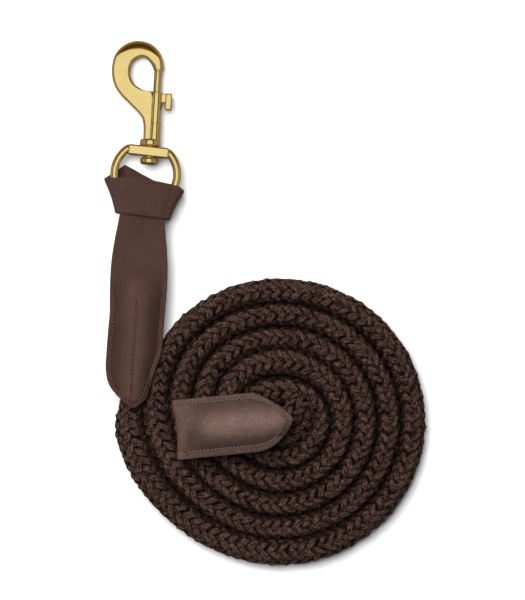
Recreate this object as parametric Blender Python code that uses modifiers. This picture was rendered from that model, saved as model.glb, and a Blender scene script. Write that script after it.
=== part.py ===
"""Lead rope, lying flat: a coil of braided rope with a leather clip end, a swivel bolt snap
and a leather end cap.

Axes: +Z up from the table at Z = 0, +Y from the coil's centre towards the snap, +X to its right.
Lengths in this script are millimetres from the coil's centre; the mesh and curve builders turn them
into metres, and at the end everything is moved so that the origin is the middle of the footprint.
"""
import math

import bmesh
import bpy
import numpy as np
from mathutils import Matrix, Vector

MM = 0.001
GAP = 0.3
FOOTPRINT_CENTRE = Vector((-9.975, 72.515, 0.0))

# Rope
ROPE_TOP = 16.0                 # height of a pressed turn
ROPE_Z = ROPE_TOP / 2           # centre height of the flat coil
ROPE_HALF_WIDTH = 6.7           # pressed between its neighbours
FREE_HALF_WIDTH = 8.3           # the start of the outer turn, free on one side
CUT_RADIUS = 7.8                # where the lead end and the coil meet
BOUND_RADIUS = 6.8              # gripped inside the leather
END_RADIUS = 5.6                # under the whipping
CORE_BORE = 4.6
WHIPPING_THICK = 0.8
CORE_RADIUS = 4.1
TURN_PITCH = 14.35
OUTER_RADIUS = 81.0             # centre line of the outermost turn
COIL_STRETCH = 0.8              # the coil is this much wider across X than across Y
COIL_START = 184.0              # degrees, counted round the coil from +X
COIL_END = 2064.0
STEP_ANGLE = 12.0
BEND_FOOT = (2.0, -8.45, 8.0)   # the inner end's tight turn starts here and ends at BEND_TOP
BEND_TOP = (2.0, 1.45, 24.9)
BEND_CUT = 130.0                # degrees round the bend where the tail end starts

# Leather
STRAP_THICK = 2.0
COLLAR_THICK = 1.8
FIN = STRAP_THICK / 2 + GAP / 2         # mid-surface height where the two layers are sewn together
CROWN = BOUND_RADIUS + 3 * GAP + STRAP_THICK / 2
BULGE_START = 4.0
BULGE_END = 11.0
SEAM_INSET = 2.9
THREAD_RADIUS = 0.4
THREAD_LIFT = STRAP_THICK / 2 + THREAD_RADIUS + 2 * GAP

# The clip end lies on the coil's edge and slopes down to the table towards the snap
PITCH = math.radians(3.8)
PITCH_Y = 45.0
PITCH_Z = 17.0

# Swivel ring and snap
RING_CENTRE = Vector((-82.6, 152.0, 0))
RING_RADIUS = 19.3
WIRE_RADIUS = 2.5
RING_FOOT_Y = 135.2             # the flattened foot that the strap folds round
BAR_CENTRE = Vector((-80.8, 166.0, 0))
BAR_TILT = math.radians(-6.4)
BAR_SIZE = (25.0, 6.2, 7.4)
SNAP_ORIGIN = Vector((-80.0, 171.0, 0))
SNAP_LEAN = math.radians(-3.3)
BARREL_X = 2.4
BARREL_RADIUS = 3.6
BARREL_TOP = 31.8
BOLT_RADIUS = 2.35
BOLT_BORE = 2.65
BOLT_FOOT = 24.4
TIP_Y = 45.2
CAST_THICK = 7.2
BORE_FOOT = 6.0

# End cap
CAP_FOLD = Vector((-63.9, -5.2, 26.2))
CAP_TURN = math.radians(5.6)
CAP_HALF = 18.3
CAP_LENGTH = 72.65
CAP_SHOULDER = 45.4
CAP_UNDER_TIP = 58.0
CAP_ROUNDNESS = 2.1             # 1 would cut the tip straight from the shoulder
TAIL_PIVOT = (13.0, 0.0, 28.2)  # the tail lifts about the top of its rope, just beyond the cap's tip

COLOURS = {
    "rope": ((0.06, 0.036, 0.028), 0.9, 0.0),
    "rope_core": ((0.35, 0.3, 0.24), 0.9, 0.0),
    "leather": ((0.075, 0.042, 0.034), 0.5, 0.0),
    "thread": ((0.1, 0.06, 0.048), 0.7, 0.0),
    "brass": ((0.78, 0.57, 0.22), 0.18, 1.0),
    "spring_steel": ((0.55, 0.55, 0.56), 0.3, 1.0),
}


# ---------------------------------------------------------------- scene helpers

def clear_scene():
    for obj in list(bpy.data.objects):
        bpy.data.objects.remove(obj, do_unlink=True)


def new_collection(name):
    collection = bpy.data.collections.new(name)
    bpy.context.scene.collection.children.link(collection)
    return collection


def material(name):
    if name in bpy.data.materials:
        return bpy.data.materials[name]
    colour, roughness, metallic = COLOURS[name]
    mat = bpy.data.materials.new(name)
    mat.use_nodes = True
    shader = mat.node_tree.nodes["Principled BSDF"]
    shader.inputs["Base Color"].default_value = (*colour, 1)
    shader.inputs["Roughness"].default_value = roughness
    shader.inputs["Metallic"].default_value = metallic
    return mat


def finish(obj, mat, collection, parent=None):
    """Put an object in its collection with its material, on its parent's joint axis if it has one."""
    for old in list(obj.users_collection):
        old.objects.unlink(obj)
    collection.objects.link(obj)
    if mat:
        obj.data.materials.clear()
        obj.data.materials.append(material(mat))
    if parent:
        bpy.context.view_layer.update()
        obj.parent = parent
        obj.matrix_parent_inverse = parent.matrix_world.inverted()
    return obj


def axis_empty(name, point, collection, parent=None):
    empty = bpy.data.objects.new(name, None)
    empty.location = MM * Vector(point)
    return finish(empty, None, collection, parent)


def mesh_object(name, points, faces):
    mesh = bpy.data.meshes.new(name)
    mesh.from_pydata([MM * Vector(p) for p in points], [], faces)
    bm = bmesh.new()
    bm.from_mesh(mesh)
    bmesh.ops.recalc_face_normals(bm, faces=bm.faces)
    bm.to_mesh(mesh)
    bm.free()
    return bpy.data.objects.new(name, mesh)


def loft(name, rings):
    """Skin a list of equal rings and join the last ring to the first, which leaves an open bore."""
    count = len(rings[0])
    points = [p for ring in rings for p in ring]
    faces = []
    for i in range(len(rings)):
        a = i * count
        b = ((i + 1) % len(rings)) * count
        for j in range(count):
            k = (j + 1) % count
            faces.append((a + j, a + k, b + k, b + j))
    return mesh_object(name, points, faces)


def sheet(name, rows, thickness):
    """A grid of mid-surface points made solid with an even wall."""
    wide = len(rows[0])
    points = [p for row in rows for p in row]
    faces = []
    for i in range(len(rows) - 1):
        for j in range(wide - 1):
            a = i * wide + j
            faces.append((a, a + 1, a + wide + 1, a + wide))
    obj = mesh_object(name, points, faces)
    solid = obj.modifiers.new("thickness", "SOLIDIFY")
    solid.thickness = thickness * MM
    solid.offset = 0
    return obj


def tube(name, points, radius, resolution=0, cyclic=False):
    """A round wire along a polyline."""
    curve = bpy.data.curves.new(name, "CURVE")
    curve.dimensions = "3D"
    curve.bevel_depth = radius * MM
    curve.bevel_resolution = resolution
    curve.use_fill_caps = True
    spline = curve.splines.new("POLY")
    spline.points.add(len(points) - 1)
    for target, p in zip(spline.points, points):
        target.co = (*(MM * Vector(p)), 1)
    spline.use_cyclic_u = cyclic
    return bpy.data.objects.new(name, curve)


def cylinder(name, radius, foot, top, x=0.0, sides=24):
    """A cylinder along Y in its parent's frame, from foot to top."""
    mesh = bpy.data.meshes.new(name)
    bm = bmesh.new()
    turn = Matrix.Rotation(math.radians(-90), 4, "X")
    place = Matrix.Translation(MM * Vector((x, (foot + top) / 2, 0))) @ turn
    bmesh.ops.create_cone(bm, cap_ends=True, segments=sides, radius1=radius * MM, radius2=radius * MM,
                          depth=(top - foot) * MM, matrix=place)
    bm.to_mesh(mesh)
    bm.free()
    return bpy.data.objects.new(name, mesh)


def box(name, low, high, bevel=0.0):
    low = Vector(low)
    high = Vector(high)
    mesh = bpy.data.meshes.new(name)
    bm = bmesh.new()
    size = Matrix.Diagonal((*(MM * (high - low)), 1))
    bmesh.ops.create_cube(bm, size=1, matrix=Matrix.Translation(MM * (low + high) / 2) @ size)
    bm.to_mesh(mesh)
    bm.free()
    obj = bpy.data.objects.new(name, mesh)
    if bevel:
        rounding = obj.modifiers.new("rounding", "BEVEL")
        rounding.width = bevel * MM
        rounding.segments = 2
    return obj


def mesh_from_curve(obj):
    """The same shape as a welded mesh, so that it can be cut."""
    bpy.context.scene.collection.objects.link(obj)
    depsgraph = bpy.context.evaluated_depsgraph_get()
    mesh = bpy.data.meshes.new_from_object(obj.evaluated_get(depsgraph))
    bm = bmesh.new()
    bm.from_mesh(mesh)
    bmesh.ops.remove_doubles(bm, verts=bm.verts, dist=0.00001)
    bmesh.ops.recalc_face_normals(bm, faces=bm.faces)
    bm.to_mesh(mesh)
    bm.free()
    name = obj.name
    bpy.data.objects.remove(obj, do_unlink=True)
    return bpy.data.objects.new(name, mesh)


def boolean(obj, cutter, operation, cutters):
    """Join or cut obj with another object, which goes out of sight with the cutters."""
    finish(cutter, None, cutters)
    cutter.hide_render = True
    cutter.display_type = "WIRE"
    modifier = obj.modifiers.new(cutter.name, "BOOLEAN")
    modifier.operation = operation
    modifier.solver = "EXACT"
    modifier.object = cutter


# ---------------------------------------------------------------- shared shapes

def smooth(low, high, value):
    t = min(max((value - low) / (high - low), 0.0), 1.0)
    return t * t * (3 - 2 * t)


def spline(points, steps):
    """Catmull-Rom through the points, with this many samples to each span."""
    points = [Vector(p) for p in points]
    ends = [2 * points[0] - points[1]] + points + [2 * points[-1] - points[-2]]
    out = []
    for a, b, c, d in zip(ends, ends[1:], ends[2:], ends[3:]):
        for k in range(steps):
            t = k / steps
            out.append(0.5 * (2 * b + (c - a) * t + (2 * a - 5 * b + 4 * c - d) * t * t
                              + (3 * b - a - 3 * c + d) * t ** 3))
    out.append(points[-1])
    return out


def coil_radius(angle):
    """Constant on the right half of each turn, one pitch inward on the left half."""
    steps = smooth(135, 252, angle) - 1
    for turn in range(1, 6):
        steps += smooth(130 + 360 * turn, 235 + 360 * turn, angle)
    return OUTER_RADIUS + COIL_STRETCH * math.cos(2 * math.radians(angle)) - TURN_PITCH * steps


def coil_point(angle):
    r = coil_radius(angle)
    return Vector((r * math.cos(math.radians(angle)), r * math.sin(math.radians(angle)), ROPE_Z))


def flat_coil_angles():
    first = math.ceil(COIL_START / STEP_ANGLE)
    last = int(COIL_END / STEP_ANGLE)
    return [COIL_START] + [STEP_ANGLE * k for k in range(first, last + 1)]


def bend_point(angle):
    """The rope's inner end turns back over itself, on an arc that climbs on top of the coil."""
    foot = Vector(BEND_FOOT)
    rise = Vector(BEND_TOP) - foot
    radius = rise.length / 2
    forward = Vector((radius * math.sin(math.radians(angle)), 0, 0))
    return foot + rise / 2 - rise / 2 * math.cos(math.radians(angle)) + forward


def inner_bend():
    count = 10
    return [bend_point(BEND_CUT * k / count) for k in range(count + 1)]


def tail_line():
    """From the cut in the bend to the rope's end under the cap's fold."""
    arc_angles = (BEND_CUT, 142.0, 155.0, 168.0, 180.0)
    along = Vector((math.cos(CAP_TURN), math.sin(CAP_TURN), 0))
    inside = [CAP_FOLD + along * s for s in (56.0, 46.0, 36.0, 28.0, 20.0, 13.0)]
    return [bend_point(a) for a in arc_angles] + inside


def lead_line():
    start = coil_point(COIL_START)
    return [start, (-91.1, 6.0, 10.8), (-90.8, 14.0, 13.3), (-90.3, 20.0, 15.0), (-89.6, 28.0, 16.8),
            (-89.1, 36.0, 17.3), (-88.4, 50.0, 16.7), (-87.7, 63.0, 15.8), (-87.3, 74.0, 15.1)]


def frames(points, first=None, last=None):
    """Centre, side and up vectors at each point of a path; first and last set the end directions."""
    out = []
    for i, p in enumerate(points):
        ahead = points[min(i + 1, len(points) - 1)] - points[max(i - 1, 0)]
        if i == 0 and first:
            ahead = first
        if i == len(points) - 1 and last:
            ahead = last
        ahead = ahead.normalized()
        side = ahead.cross(Vector((0, 0, 1))).normalized()
        out.append((Vector(p), side, side.cross(ahead)))
    return out


def oval(frame, half_width, half_height):
    """An eight-sided ring with flat sides, top and bottom."""
    centre, side, up = frame
    ring = []
    for k in range(8):
        angle = math.radians(22.5 + 45 * k)
        reach = 1 / math.cos(math.radians(22.5))
        ring.append(centre + side * (half_width * reach * math.cos(angle))
                    + up * (half_height * reach * math.sin(angle)))
    return ring


def hollow_rope(name, points, sizes, first=None, last=None):
    """A braided jacket as a tube with an open bore for its core."""
    path = frames(points, first, last)
    outside = [oval(f, w, h) for f, (w, h) in zip(path, sizes)]
    inside = [oval(f, CORE_BORE, CORE_BORE) for f in reversed(path)]
    return loft(name, outside + inside)


# ---------------------------------------------------------------- rope

def rope_sections(collection, lead, tail):
    """The coil with its inner bend, and the two rope ends, which share their cut planes with it."""
    angles = flat_coil_angles()
    bend = inner_bend()
    coil = [coil_point(a) for a in angles] + bend
    sizes = []
    for a in angles:
        pressed = smooth(255, 330, a)
        half = FREE_HALF_WIDTH + (ROPE_HALF_WIDTH - FREE_HALF_WIDTH) * pressed
        grip = 1 - smooth(COIL_START, COIL_START + 40, a)
        sizes.append((half + (CUT_RADIUS - half) * grip, ROPE_Z + (CUT_RADIUS - ROPE_Z) * grip))
    for k in range(len(bend)):
        loose = smooth(0, 6, k)
        sizes.append((ROPE_HALF_WIDTH, ROPE_Z + (ROPE_HALF_WIDTH - ROPE_Z) * loose))
    out_of_lead = (coil_point(COIL_START + 1) - coil_point(COIL_START - 1)).normalized()
    tail_points = tail_line()
    into_tail = (bend_point(BEND_CUT + 1) - bend_point(BEND_CUT - 1)).normalized()
    finish(hollow_rope("rope_coil", coil, sizes, out_of_lead, into_tail), "rope", collection)
    core = [coil[0] + out_of_lead] + coil[1:-1] + [coil[-1] - into_tail]
    finish(tube("rope_coil_core", core, CORE_RADIUS), "rope_core", collection)
    lead_points = spline(lead_line(), 2)
    rope_end("rope_lead", lead_points, (CUT_RADIUS, 58.0, 64.0), -out_of_lead, collection, lead)
    rope_end("rope_tail", tail_points, (ROPE_HALF_WIDTH, 44.0, 50.0), into_tail, collection, tail)


def rope_end(name, points, shape, first, collection, parent):
    """One rope end: it narrows into the leather and again under the whipping near its end."""
    start_radius, bound_from, bound_to = shape
    reach = [(p - points[0]).length for p in points]
    radii = [start_radius + (BOUND_RADIUS - start_radius) * smooth(0, 12, r) for r in reach]
    radii = [w + (END_RADIUS - w) * smooth(bound_from, bound_to, r) for w, r in zip(radii, reach)]
    clear = [points[0] + first * GAP] + points[1:]
    jacket = hollow_rope(name, clear, [(w, w) for w in radii], first)
    finish(jacket, "rope", collection, parent)
    core = [points[0] + first] + points[1:]
    finish(tube(name + "_core", core, CORE_RADIUS), "rope_core", collection, parent)
    bound = [p for p, r in zip(points, reach) if r > bound_to]
    path = frames(bound)
    inner = END_RADIUS + GAP
    outer = inner + WHIPPING_THICK
    rings = [oval(f, outer, outer) for f in path]
    rings += [oval(f, inner, inner) for f in reversed(path)]
    finish(loft(name + "_whipping", rings), "thread", collection, parent)


# ---------------------------------------------------------------- leather clip end

# Y, left edge and right edge of the strap, from its pointed tip to the fold round the ring
STRAP_EDGES = [
    (8.0, -91.4, -90.2), (10.5, -94.0, -86.2), (15.0, -98.9, -81.7), (20.0, -103.5, -80.1),
    (25.5, -106.0, -78.6), (33.0, -107.0, -75.9), (43.0, -106.5, -72.6), (55.0, -105.6, -71.6),
    (66.4, -104.6, -70.7), (77.0, -104.5, -69.8), (87.0, -104.3, -69.2), (99.0, -103.5, -69.2),
    (112.0, -101.5, -70.1), (122.0, -99.5, -70.9), (129.5, -92.6, -73.2), (RING_FOOT_Y, -91.2, -74.0),
]
STRAP_UNDER_TIP = 30.0
STRAP_COLUMNS = (-1.0, -0.82, -0.62, -0.42, -0.2, 0.0, 0.2, 0.42, 0.62, 0.82, 1.0)


def pitch_matrix():
    """From the clip end's own flat plane to its place on the table."""
    foot = Vector((0, PITCH_Y, 0))
    rise = Vector((0, 0, PITCH_Z))
    turn = Matrix.Rotation(-PITCH, 4, "X")
    return Matrix.Translation(foot + rise) @ turn @ Matrix.Translation(-foot)


def strap_width(y):
    left = np.interp(y, [e[0] for e in STRAP_EDGES], [e[1] for e in STRAP_EDGES])
    right = np.interp(y, [e[0] for e in STRAP_EDGES], [e[2] for e in STRAP_EDGES])
    return (left + right) / 2, (right - left) / 2


def rope_offset(y):
    """Height of the rope's centre above the strap's middle plane."""
    line = lead_line()
    height = np.interp(y, [p[1] for p in line], [p[2] for p in line])
    plane = PITCH_Z - (y - PITCH_Y) * math.tan(PITCH)
    return float(height - plane)


def strap_height(y, x, side):
    """Mid-surface of the upper (side 1) or lower (side -1) layer, measured from the middle plane."""
    line = lead_line()
    across = x - float(np.interp(y, [p[1] for p in line], [p[0] for p in line]))
    full = 1 - smooth(76, 92, y)
    offset = rope_offset(min(y, 74.0)) * full
    steepness = math.hypot(1, rope_offset(y + 1) - rope_offset(y - 1))
    crown = offset + side * (FIN + (CROWN * steepness - FIN) * full)
    opening = smooth(118, RING_FOOT_Y, y)
    fin = 0.25 * offset + side * FIN
    ring_gap = side * (WIRE_RADIUS + GAP + STRAP_THICK / 2)
    height = crown + (fin - crown) * smooth(BULGE_START, BULGE_END, abs(across))
    return height + (ring_gap - height) * opening


def strap_row(y, side):
    centre, half = strap_width(y)
    xs = [centre + half * c for c in STRAP_COLUMNS]
    return [Vector((x, y, strap_height(y, x, side))) for x in xs]


def strap_rows():
    """Up the upper layer, round the ring's foot and back down the shorter lower layer."""
    ys = [e[0] for e in STRAP_EDGES]
    upper = [strap_row(y, 1) for y in ys]
    lower = [strap_row(y, -1) for y in reversed(ys) if y > STRAP_UNDER_TIP]
    centre, half = strap_width(RING_FOOT_Y)
    radius = WIRE_RADIUS + GAP + STRAP_THICK / 2
    fold = []
    for k in range(1, 8):
        angle = math.pi * k / 8
        y = RING_FOOT_Y + radius * math.sin(angle)
        z = radius * math.cos(angle)
        fold.append([Vector((centre + half * c, y, z)) for c in STRAP_COLUMNS])
    return upper + fold + lower


def in_plane(points):
    place = pitch_matrix()
    return [place @ Vector(p) for p in points]


def clip_leather(collection, lead):
    rows = [in_plane(row) for row in strap_rows()]
    finish(sheet("clip_strap", rows, STRAP_THICK), "leather", collection, lead)
    finish(sheet("clip_collar", [in_plane(row) for row in collar_rows()], COLLAR_THICK), "leather",
           collection, lead)
    finish(tube("clip_edge_seam", in_plane(edge_seam()), THREAD_RADIUS), "thread", collection, lead)
    finish(tube("clip_middle_seam", in_plane(middle_seam()), THREAD_RADIUS), "thread", collection, lead)
    finish(tube("collar_seam", in_plane(collar_seam()), THREAD_RADIUS), "thread", collection, lead)


def edge_seam():
    """One running thread down the left edge, round the tip and up the right edge."""
    ys = [78.0, 70.0, 61.0, 52.0, 43.0, 35.0, 28.0, 22.5, 18.5, 15.5, 13.5]
    left = []
    right = []
    for y in ys:
        centre, half = strap_width(y)
        across = max(half - SEAM_INSET, 0.9)
        left.append(on_strap(centre - across, y))
        right.append(on_strap(centre + across, y))
    return left + right[::-1]


def on_strap(x, y):
    """A thread's centre lying on the upper layer."""
    slope = strap_height(y, x + 0.5, 1) - strap_height(y, x - 0.5, 1)
    climb = (strap_height(y + 3, x, 1) - strap_height(y - 3, x, 1)) / 6
    return Vector((x, y, strap_height(y, x, 1) + THREAD_LIFT * math.hypot(1, slope, climb)))


def middle_seam():
    points = []
    for k in range(14):
        y = 72.0 - k * (72.0 - 21.0) / 13
        centre, _ = strap_width(y)
        points.append(on_strap(centre + 1.5, y))
    return points


# Top edge of the collar's front and of its back, as X and Y
COLLAR_FRONT = [(-108.4, 149.2), (-88.0, 149.5), (-82.5, 148.5), (-67.5, 145.3), (-61.8, 143.9), (-58.6, 141.2)]
COLLAR_BACK = [(-108.4, 149.2), (-104.6, 152.2), (-95.6, 158.2), (-77.5, 148.6), (-58.6, 141.2)]
COLLAR_FOOT = (-84.5, 16.0, 5.6)        # centre X, half width and half depth of the wall's middle
COLLAR_MOUTH = (-83.5, 24.1, 8.3)


def collar_loop(angle, shape):
    """A squarish flat loop: angle 0 at the left, 90 at the front, 180 at the right, 270 at the back."""
    centre, half, depth = shape
    c = math.cos(math.radians(angle))
    s = math.sin(math.radians(angle))
    squash = (abs(c) ** 3 + abs(s) ** 3) ** (-1 / 3)
    return centre - half * squash * c, depth * squash * s


def collar_rows():
    """A strip wound from its cut end at the back, round the right side and the front to the left."""
    ends = (300.0, -38.0)
    count = 40
    rows = []
    for k in range(count + 1):
        angle = ends[0] + (ends[1] - ends[0]) * k / count
        foot_x, foot_z = collar_loop(angle, COLLAR_FOOT)
        top_x, top_z = collar_loop(angle, COLLAR_MOUTH)
        foot_y = 128.2 - 0.131 * (foot_x + 101.3)
        edge = COLLAR_FRONT if 0 <= angle % 360 <= 180 else COLLAR_BACK
        top_y = float(np.interp(top_x, [p[0] for p in edge], [p[1] for p in edge]))
        foot = Vector((foot_x, foot_y, foot_z))
        top = Vector((top_x, top_y, top_z))
        rows.append([foot.lerp(top, t) for t in (0.0, 0.33, 0.67, 1.0)])
    return rows


def collar_seam():
    """A short thread up the back wall, where the wound strip is sewn to the layer it laps."""
    row = collar_rows()[4]
    lift = Vector((0, 0, -(COLLAR_THICK / 2 + THREAD_RADIUS + 0.35)))
    return [row[0].lerp(row[3], t) + lift for t in (0.1, 0.35, 0.6, 0.85)]


# ---------------------------------------------------------------- swivel ring

def ring_line():
    """A round eye with a flat foot for the strap and a flat top bar for the swivel."""
    foot = RING_CENTRE.y - RING_FOOT_Y
    foot_angle = math.asin(foot / RING_RADIUS)
    top_left = math.radians(124.5)
    top_right = math.radians(41.5)
    centre = RING_CENTRE
    right = np.linspace(-foot_angle, top_right, 15)
    left = np.linspace(top_left, math.pi + foot_angle, 15)
    points = []
    for angle in [*right, *left]:
        points.append(centre + RING_RADIUS * Vector((math.cos(angle), math.sin(angle), 0)))
    return points


def swivel_ring(collection, cutters, parent):
    place = pitch_matrix()
    ring = mesh_from_curve(tube("swivel_ring", in_plane(ring_line()), WIRE_RADIUS, 2, True))
    finish(ring, "brass", collection)
    half = Vector(BAR_SIZE) / 2
    bar = box("swivel_bar", -half, half, 0.9)
    bar.matrix_world = metres(place @ Matrix.Translation(BAR_CENTRE) @ Matrix.Rotation(BAR_TILT, 4, "Z"))
    boolean(ring, bar, "UNION", cutters)
    bore = cylinder("swivel_bore", 2.4, -14, 2)
    bore.matrix_world = metres(place @ snap_matrix())
    boolean(ring, bore, "DIFFERENCE", cutters)
    return finish(ring, "brass", collection, parent)


def metres(matrix):
    """The same placement with its shift in metres."""
    out = matrix.copy()
    out.translation = MM * matrix.translation
    return out


# ---------------------------------------------------------------- snap

def snap_matrix():
    return Matrix.Translation(SNAP_ORIGIN) @ Matrix.Rotation(SNAP_LEAN, 4, "Z")


def arc(centre, radius, start, end, steps):
    points = []
    for k in range(steps + 1):
        angle = math.radians(start + (end - start) * k / steps)
        points.append((centre[0] + radius * math.cos(angle), centre[1] + radius * math.sin(angle)))
    return points


def snap_outline():
    """Hook, web and neck as one flat outline: up the outside, round the crown, and back inside."""
    outside = [(-4.3, 2.0), (-4.6, 10.5), (-5.6, 14.9), (-8.3, 18.5), (-12.6, 22.3), (-18.4, 27.6),
               (-22.0, 32.2), (-24.3, 37.0)]
    crown = arc((-9.9, 46.4), 15.4, 190, 0, 18)
    tip = [(5.5, TIP_Y), (-0.5, TIP_Y)]
    inside = [(-1.6, 47.6), (-3.4, 50.0), (-5.6, 51.5), (-9.6, 51.5), (-12.2, 49.8), (-14.2, 47.0),
              (-15.0, 43.6), (-14.4, 39.6), (-12.3, 36.4), (-9.0, 33.8), (-5.3, 32.4), (-1.3, BARREL_TOP)]
    right = [(5.9, BARREL_TOP), (5.9, 2.0)]
    return outside + crown + tip + inside + right


def snap_casting(name):
    curve = bpy.data.curves.new(name, "CURVE")
    curve.dimensions = "2D"
    curve.fill_mode = "BOTH"
    rounding = 1.6
    curve.extrude = (CAST_THICK / 2 - rounding) * MM
    curve.bevel_depth = rounding * MM
    curve.bevel_resolution = 1
    curve.offset = -rounding * MM
    outline = snap_outline()
    loop = curve.splines.new("POLY")
    loop.points.add(len(outline) - 1)
    for target, (x, y) in zip(loop.points, outline):
        target.co = (x * MM, y * MM, 0, 1)
    loop.use_cyclic_u = True
    return mesh_from_curve(bpy.data.objects.new(name, curve))


def place_in_snap(obj):
    obj.matrix_world = metres(pitch_matrix() @ snap_matrix())
    return obj


def snap(collection, cutters, hook_axis, bolt_axis):
    hook = place_in_snap(snap_casting("hook_body"))
    finish(hook, "brass", collection)
    boolean(hook, place_in_snap(cylinder("barrel_wall", BARREL_RADIUS, 2.1, BARREL_TOP + 0.1, BARREL_X)),
            "UNION", cutters)
    boolean(hook, place_in_snap(cylinder("base_flange", 6.2, -1.2, 2.4)), "UNION", cutters)
    cuts = [
        cylinder("bolt_bore", BOLT_BORE, BORE_FOOT, 40, BARREL_X),
        cylinder("tip_socket", BOLT_BORE, 42, TIP_Y + 2.4, BARREL_X),
        cylinder("rivet_hole", 2.4, -5, 3.2),
        box("lever_slot", (BARREL_X, 12.9, -1.6), (12, 40, 1.6)),
    ]
    for cut in cuts:
        boolean(hook, place_in_snap(cut), "DIFFERENCE", cutters)
    finish(hook, "brass", collection, hook_axis)

    rivet = place_in_snap(cylinder("swivel_rivet", 2.1, -12.0, 2.9))
    finish(rivet, "brass", collection)
    boolean(rivet, place_in_snap(cylinder("rivet_head", 5.4, -13.1, -8.75)), "UNION", cutters)
    finish(rivet, "brass", collection, hook_axis)

    bolt = place_in_snap(cylinder("snap_bolt", BOLT_RADIUS, BOLT_FOOT, TIP_Y + 2.0, BARREL_X))
    finish(bolt, "brass", collection)
    boolean(bolt, place_in_snap(box("lever_hole", (1.4, 25.2, -1.4), (8, 31.3, 1.4))), "DIFFERENCE", cutters)
    finish(bolt, "brass", collection, bolt_axis)

    lever = place_in_snap(box("thumb_lever", (7.9, 21.0, -2.6), (11.9, 31.3, 2.6), 0.8))
    finish(lever, "brass", collection)
    boolean(lever, place_in_snap(box("lever_stub", (1.7, 25.5, -1.1), (9.5, 31.0, 1.1))), "UNION", cutters)
    finish(lever, "brass", collection, bolt_axis)

    coils = 7
    points = []
    for k in range(coils * 10 + 1):
        angle = math.tau * k / 10
        rise = BORE_FOOT + 0.7 + (BOLT_FOOT - BORE_FOOT - 1.4) * k / (coils * 10)
        points.append(Vector((BARREL_X + 1.9 * math.cos(angle), rise, 1.9 * math.sin(angle))))
    finish(place_in_snap(tube("bolt_spring", points, 0.35)), "spring_steel", collection, hook_axis)


# ---------------------------------------------------------------- end cap

def cap_half_width(x):
    """Parallel from the fold to the shoulder, then in to the point."""
    if x <= CAP_SHOULDER:
        return CAP_HALF
    t = (x - CAP_SHOULDER) / (CAP_LENGTH - CAP_SHOULDER)
    return CAP_HALF * (1 - t ** CAP_ROUNDNESS)


def cap_rope_offset(x):
    line = tail_line()
    xs = [(p - CAP_FOLD).to_2d().length for p in line]
    zs = [p.z - CAP_FOLD.z for p in line]
    return float(np.interp(x, xs[::-1], zs[::-1]))


def cap_height(x, across, side):
    offset = cap_rope_offset(x)
    steepness = math.hypot(1, cap_rope_offset(x + 1) - cap_rope_offset(x - 1))
    crown = offset + side * CROWN * steepness
    fin = 0.25 * offset + side * FIN
    return crown + (fin - crown) * smooth(BULGE_START, BULGE_END, abs(across))


def cap_row(x, half, side):
    return [Vector((x, half * c, cap_height(x, half * c, side))) for c in STRAP_COLUMNS]


def cap_rows():
    upper_x = [CAP_LENGTH - 0.6, 70.0, 65.0, 60.0, 55.0, 50.0, CAP_SHOULDER, 36.0, 27.0, 19.0, 12.0]
    upper = [cap_row(x, cap_half_width(x), 1) for x in upper_x]
    under_scale = CAP_LENGTH / CAP_UNDER_TIP
    lower_x = [x / under_scale for x in upper_x]
    lower = [cap_row(x / under_scale, cap_half_width(x), -1) for x in reversed(upper_x)]
    lower = [row for row in lower if row[0].x > lower_x[-2]]
    fold = []
    for k in range(0, 9):
        angle = math.pi * k / 8
        row = []
        for c in STRAP_COLUMNS:
            across = CAP_HALF * c
            radius = cap_height(CAP_SHOULDER / 2, across, 1)
            edge = 1.4 * (1 - c * c)
            row.append(Vector((edge + radius * (1 - math.sin(angle)), across, radius * math.cos(angle))))
        fold.append(row)
    return upper + fold + lower


def in_cap(points):
    place = Matrix.Translation(CAP_FOLD) @ Matrix.Rotation(CAP_TURN, 4, "Z")
    return [place @ Vector(p) for p in points]


def end_cap(collection, tail):
    rows = [in_cap(row) for row in cap_rows()]
    finish(sheet("end_cap", rows, STRAP_THICK), "leather", collection, tail)
    side = []
    for x in (4.0, 12.0, 20.0, 28.0, 36.0, 43.0, 49.0, 55.0, 60.0, 64.0):
        across = max(cap_half_width(x + 2.0) - SEAM_INSET, 0.8)
        slope = cap_height(x, across + 0.5, 1) - cap_height(x, across - 0.5, 1)
        climb = (cap_height(x + 3, across, 1) - cap_height(x - 3, across, 1)) / 6
        lift = THREAD_LIFT * math.hypot(1, slope, climb)
        side.append(Vector((x, across, cap_height(x, across, 1) + lift)))
    mirrored = [Vector((p.x, -p.y, p.z)) for p in reversed(side)]
    finish(tube("end_cap_seam", in_cap(side + mirrored), THREAD_RADIUS), "thread", collection, tail)


# ---------------------------------------------------------------- assembly

def move_origin_to_footprint():
    """From the coil's centre to the middle of the whole footprint; children follow their parents."""
    bpy.context.view_layer.update()
    shift = Matrix.Translation(-MM * FOOTPRINT_CENTRE)
    for obj in bpy.data.objects:
        if obj.parent is None:
            obj.matrix_world = shift @ obj.matrix_world


def build():
    clear_scene()
    parts = new_collection("lead_rope")
    cutters = new_collection("cutters")
    place = pitch_matrix()
    start = coil_point(COIL_START)
    lead = axis_empty("lead_lift_axis", (start.x, start.y, ROPE_Z + CUT_RADIUS + GAP), parts)
    tail = axis_empty("tail_lift_axis", TAIL_PIVOT, parts)
    ring_axis = axis_empty("ring_tilt_axis", place @ Vector((RING_CENTRE.x, RING_FOOT_Y, 0)), parts, lead)
    hook_axis = axis_empty("snap_swivel_axis", place @ SNAP_ORIGIN, parts, ring_axis)
    barrel = place @ snap_matrix() @ Vector((BARREL_X, BOLT_FOOT, 0))
    bolt_axis = axis_empty("bolt_slide_axis", barrel, parts, hook_axis)
    rope_sections(parts, lead, tail)
    clip_leather(parts, lead)
    swivel_ring(parts, cutters, ring_axis)
    snap(parts, cutters, hook_axis, bolt_axis)
    end_cap(parts, tail)
    move_origin_to_footprint()


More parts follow.
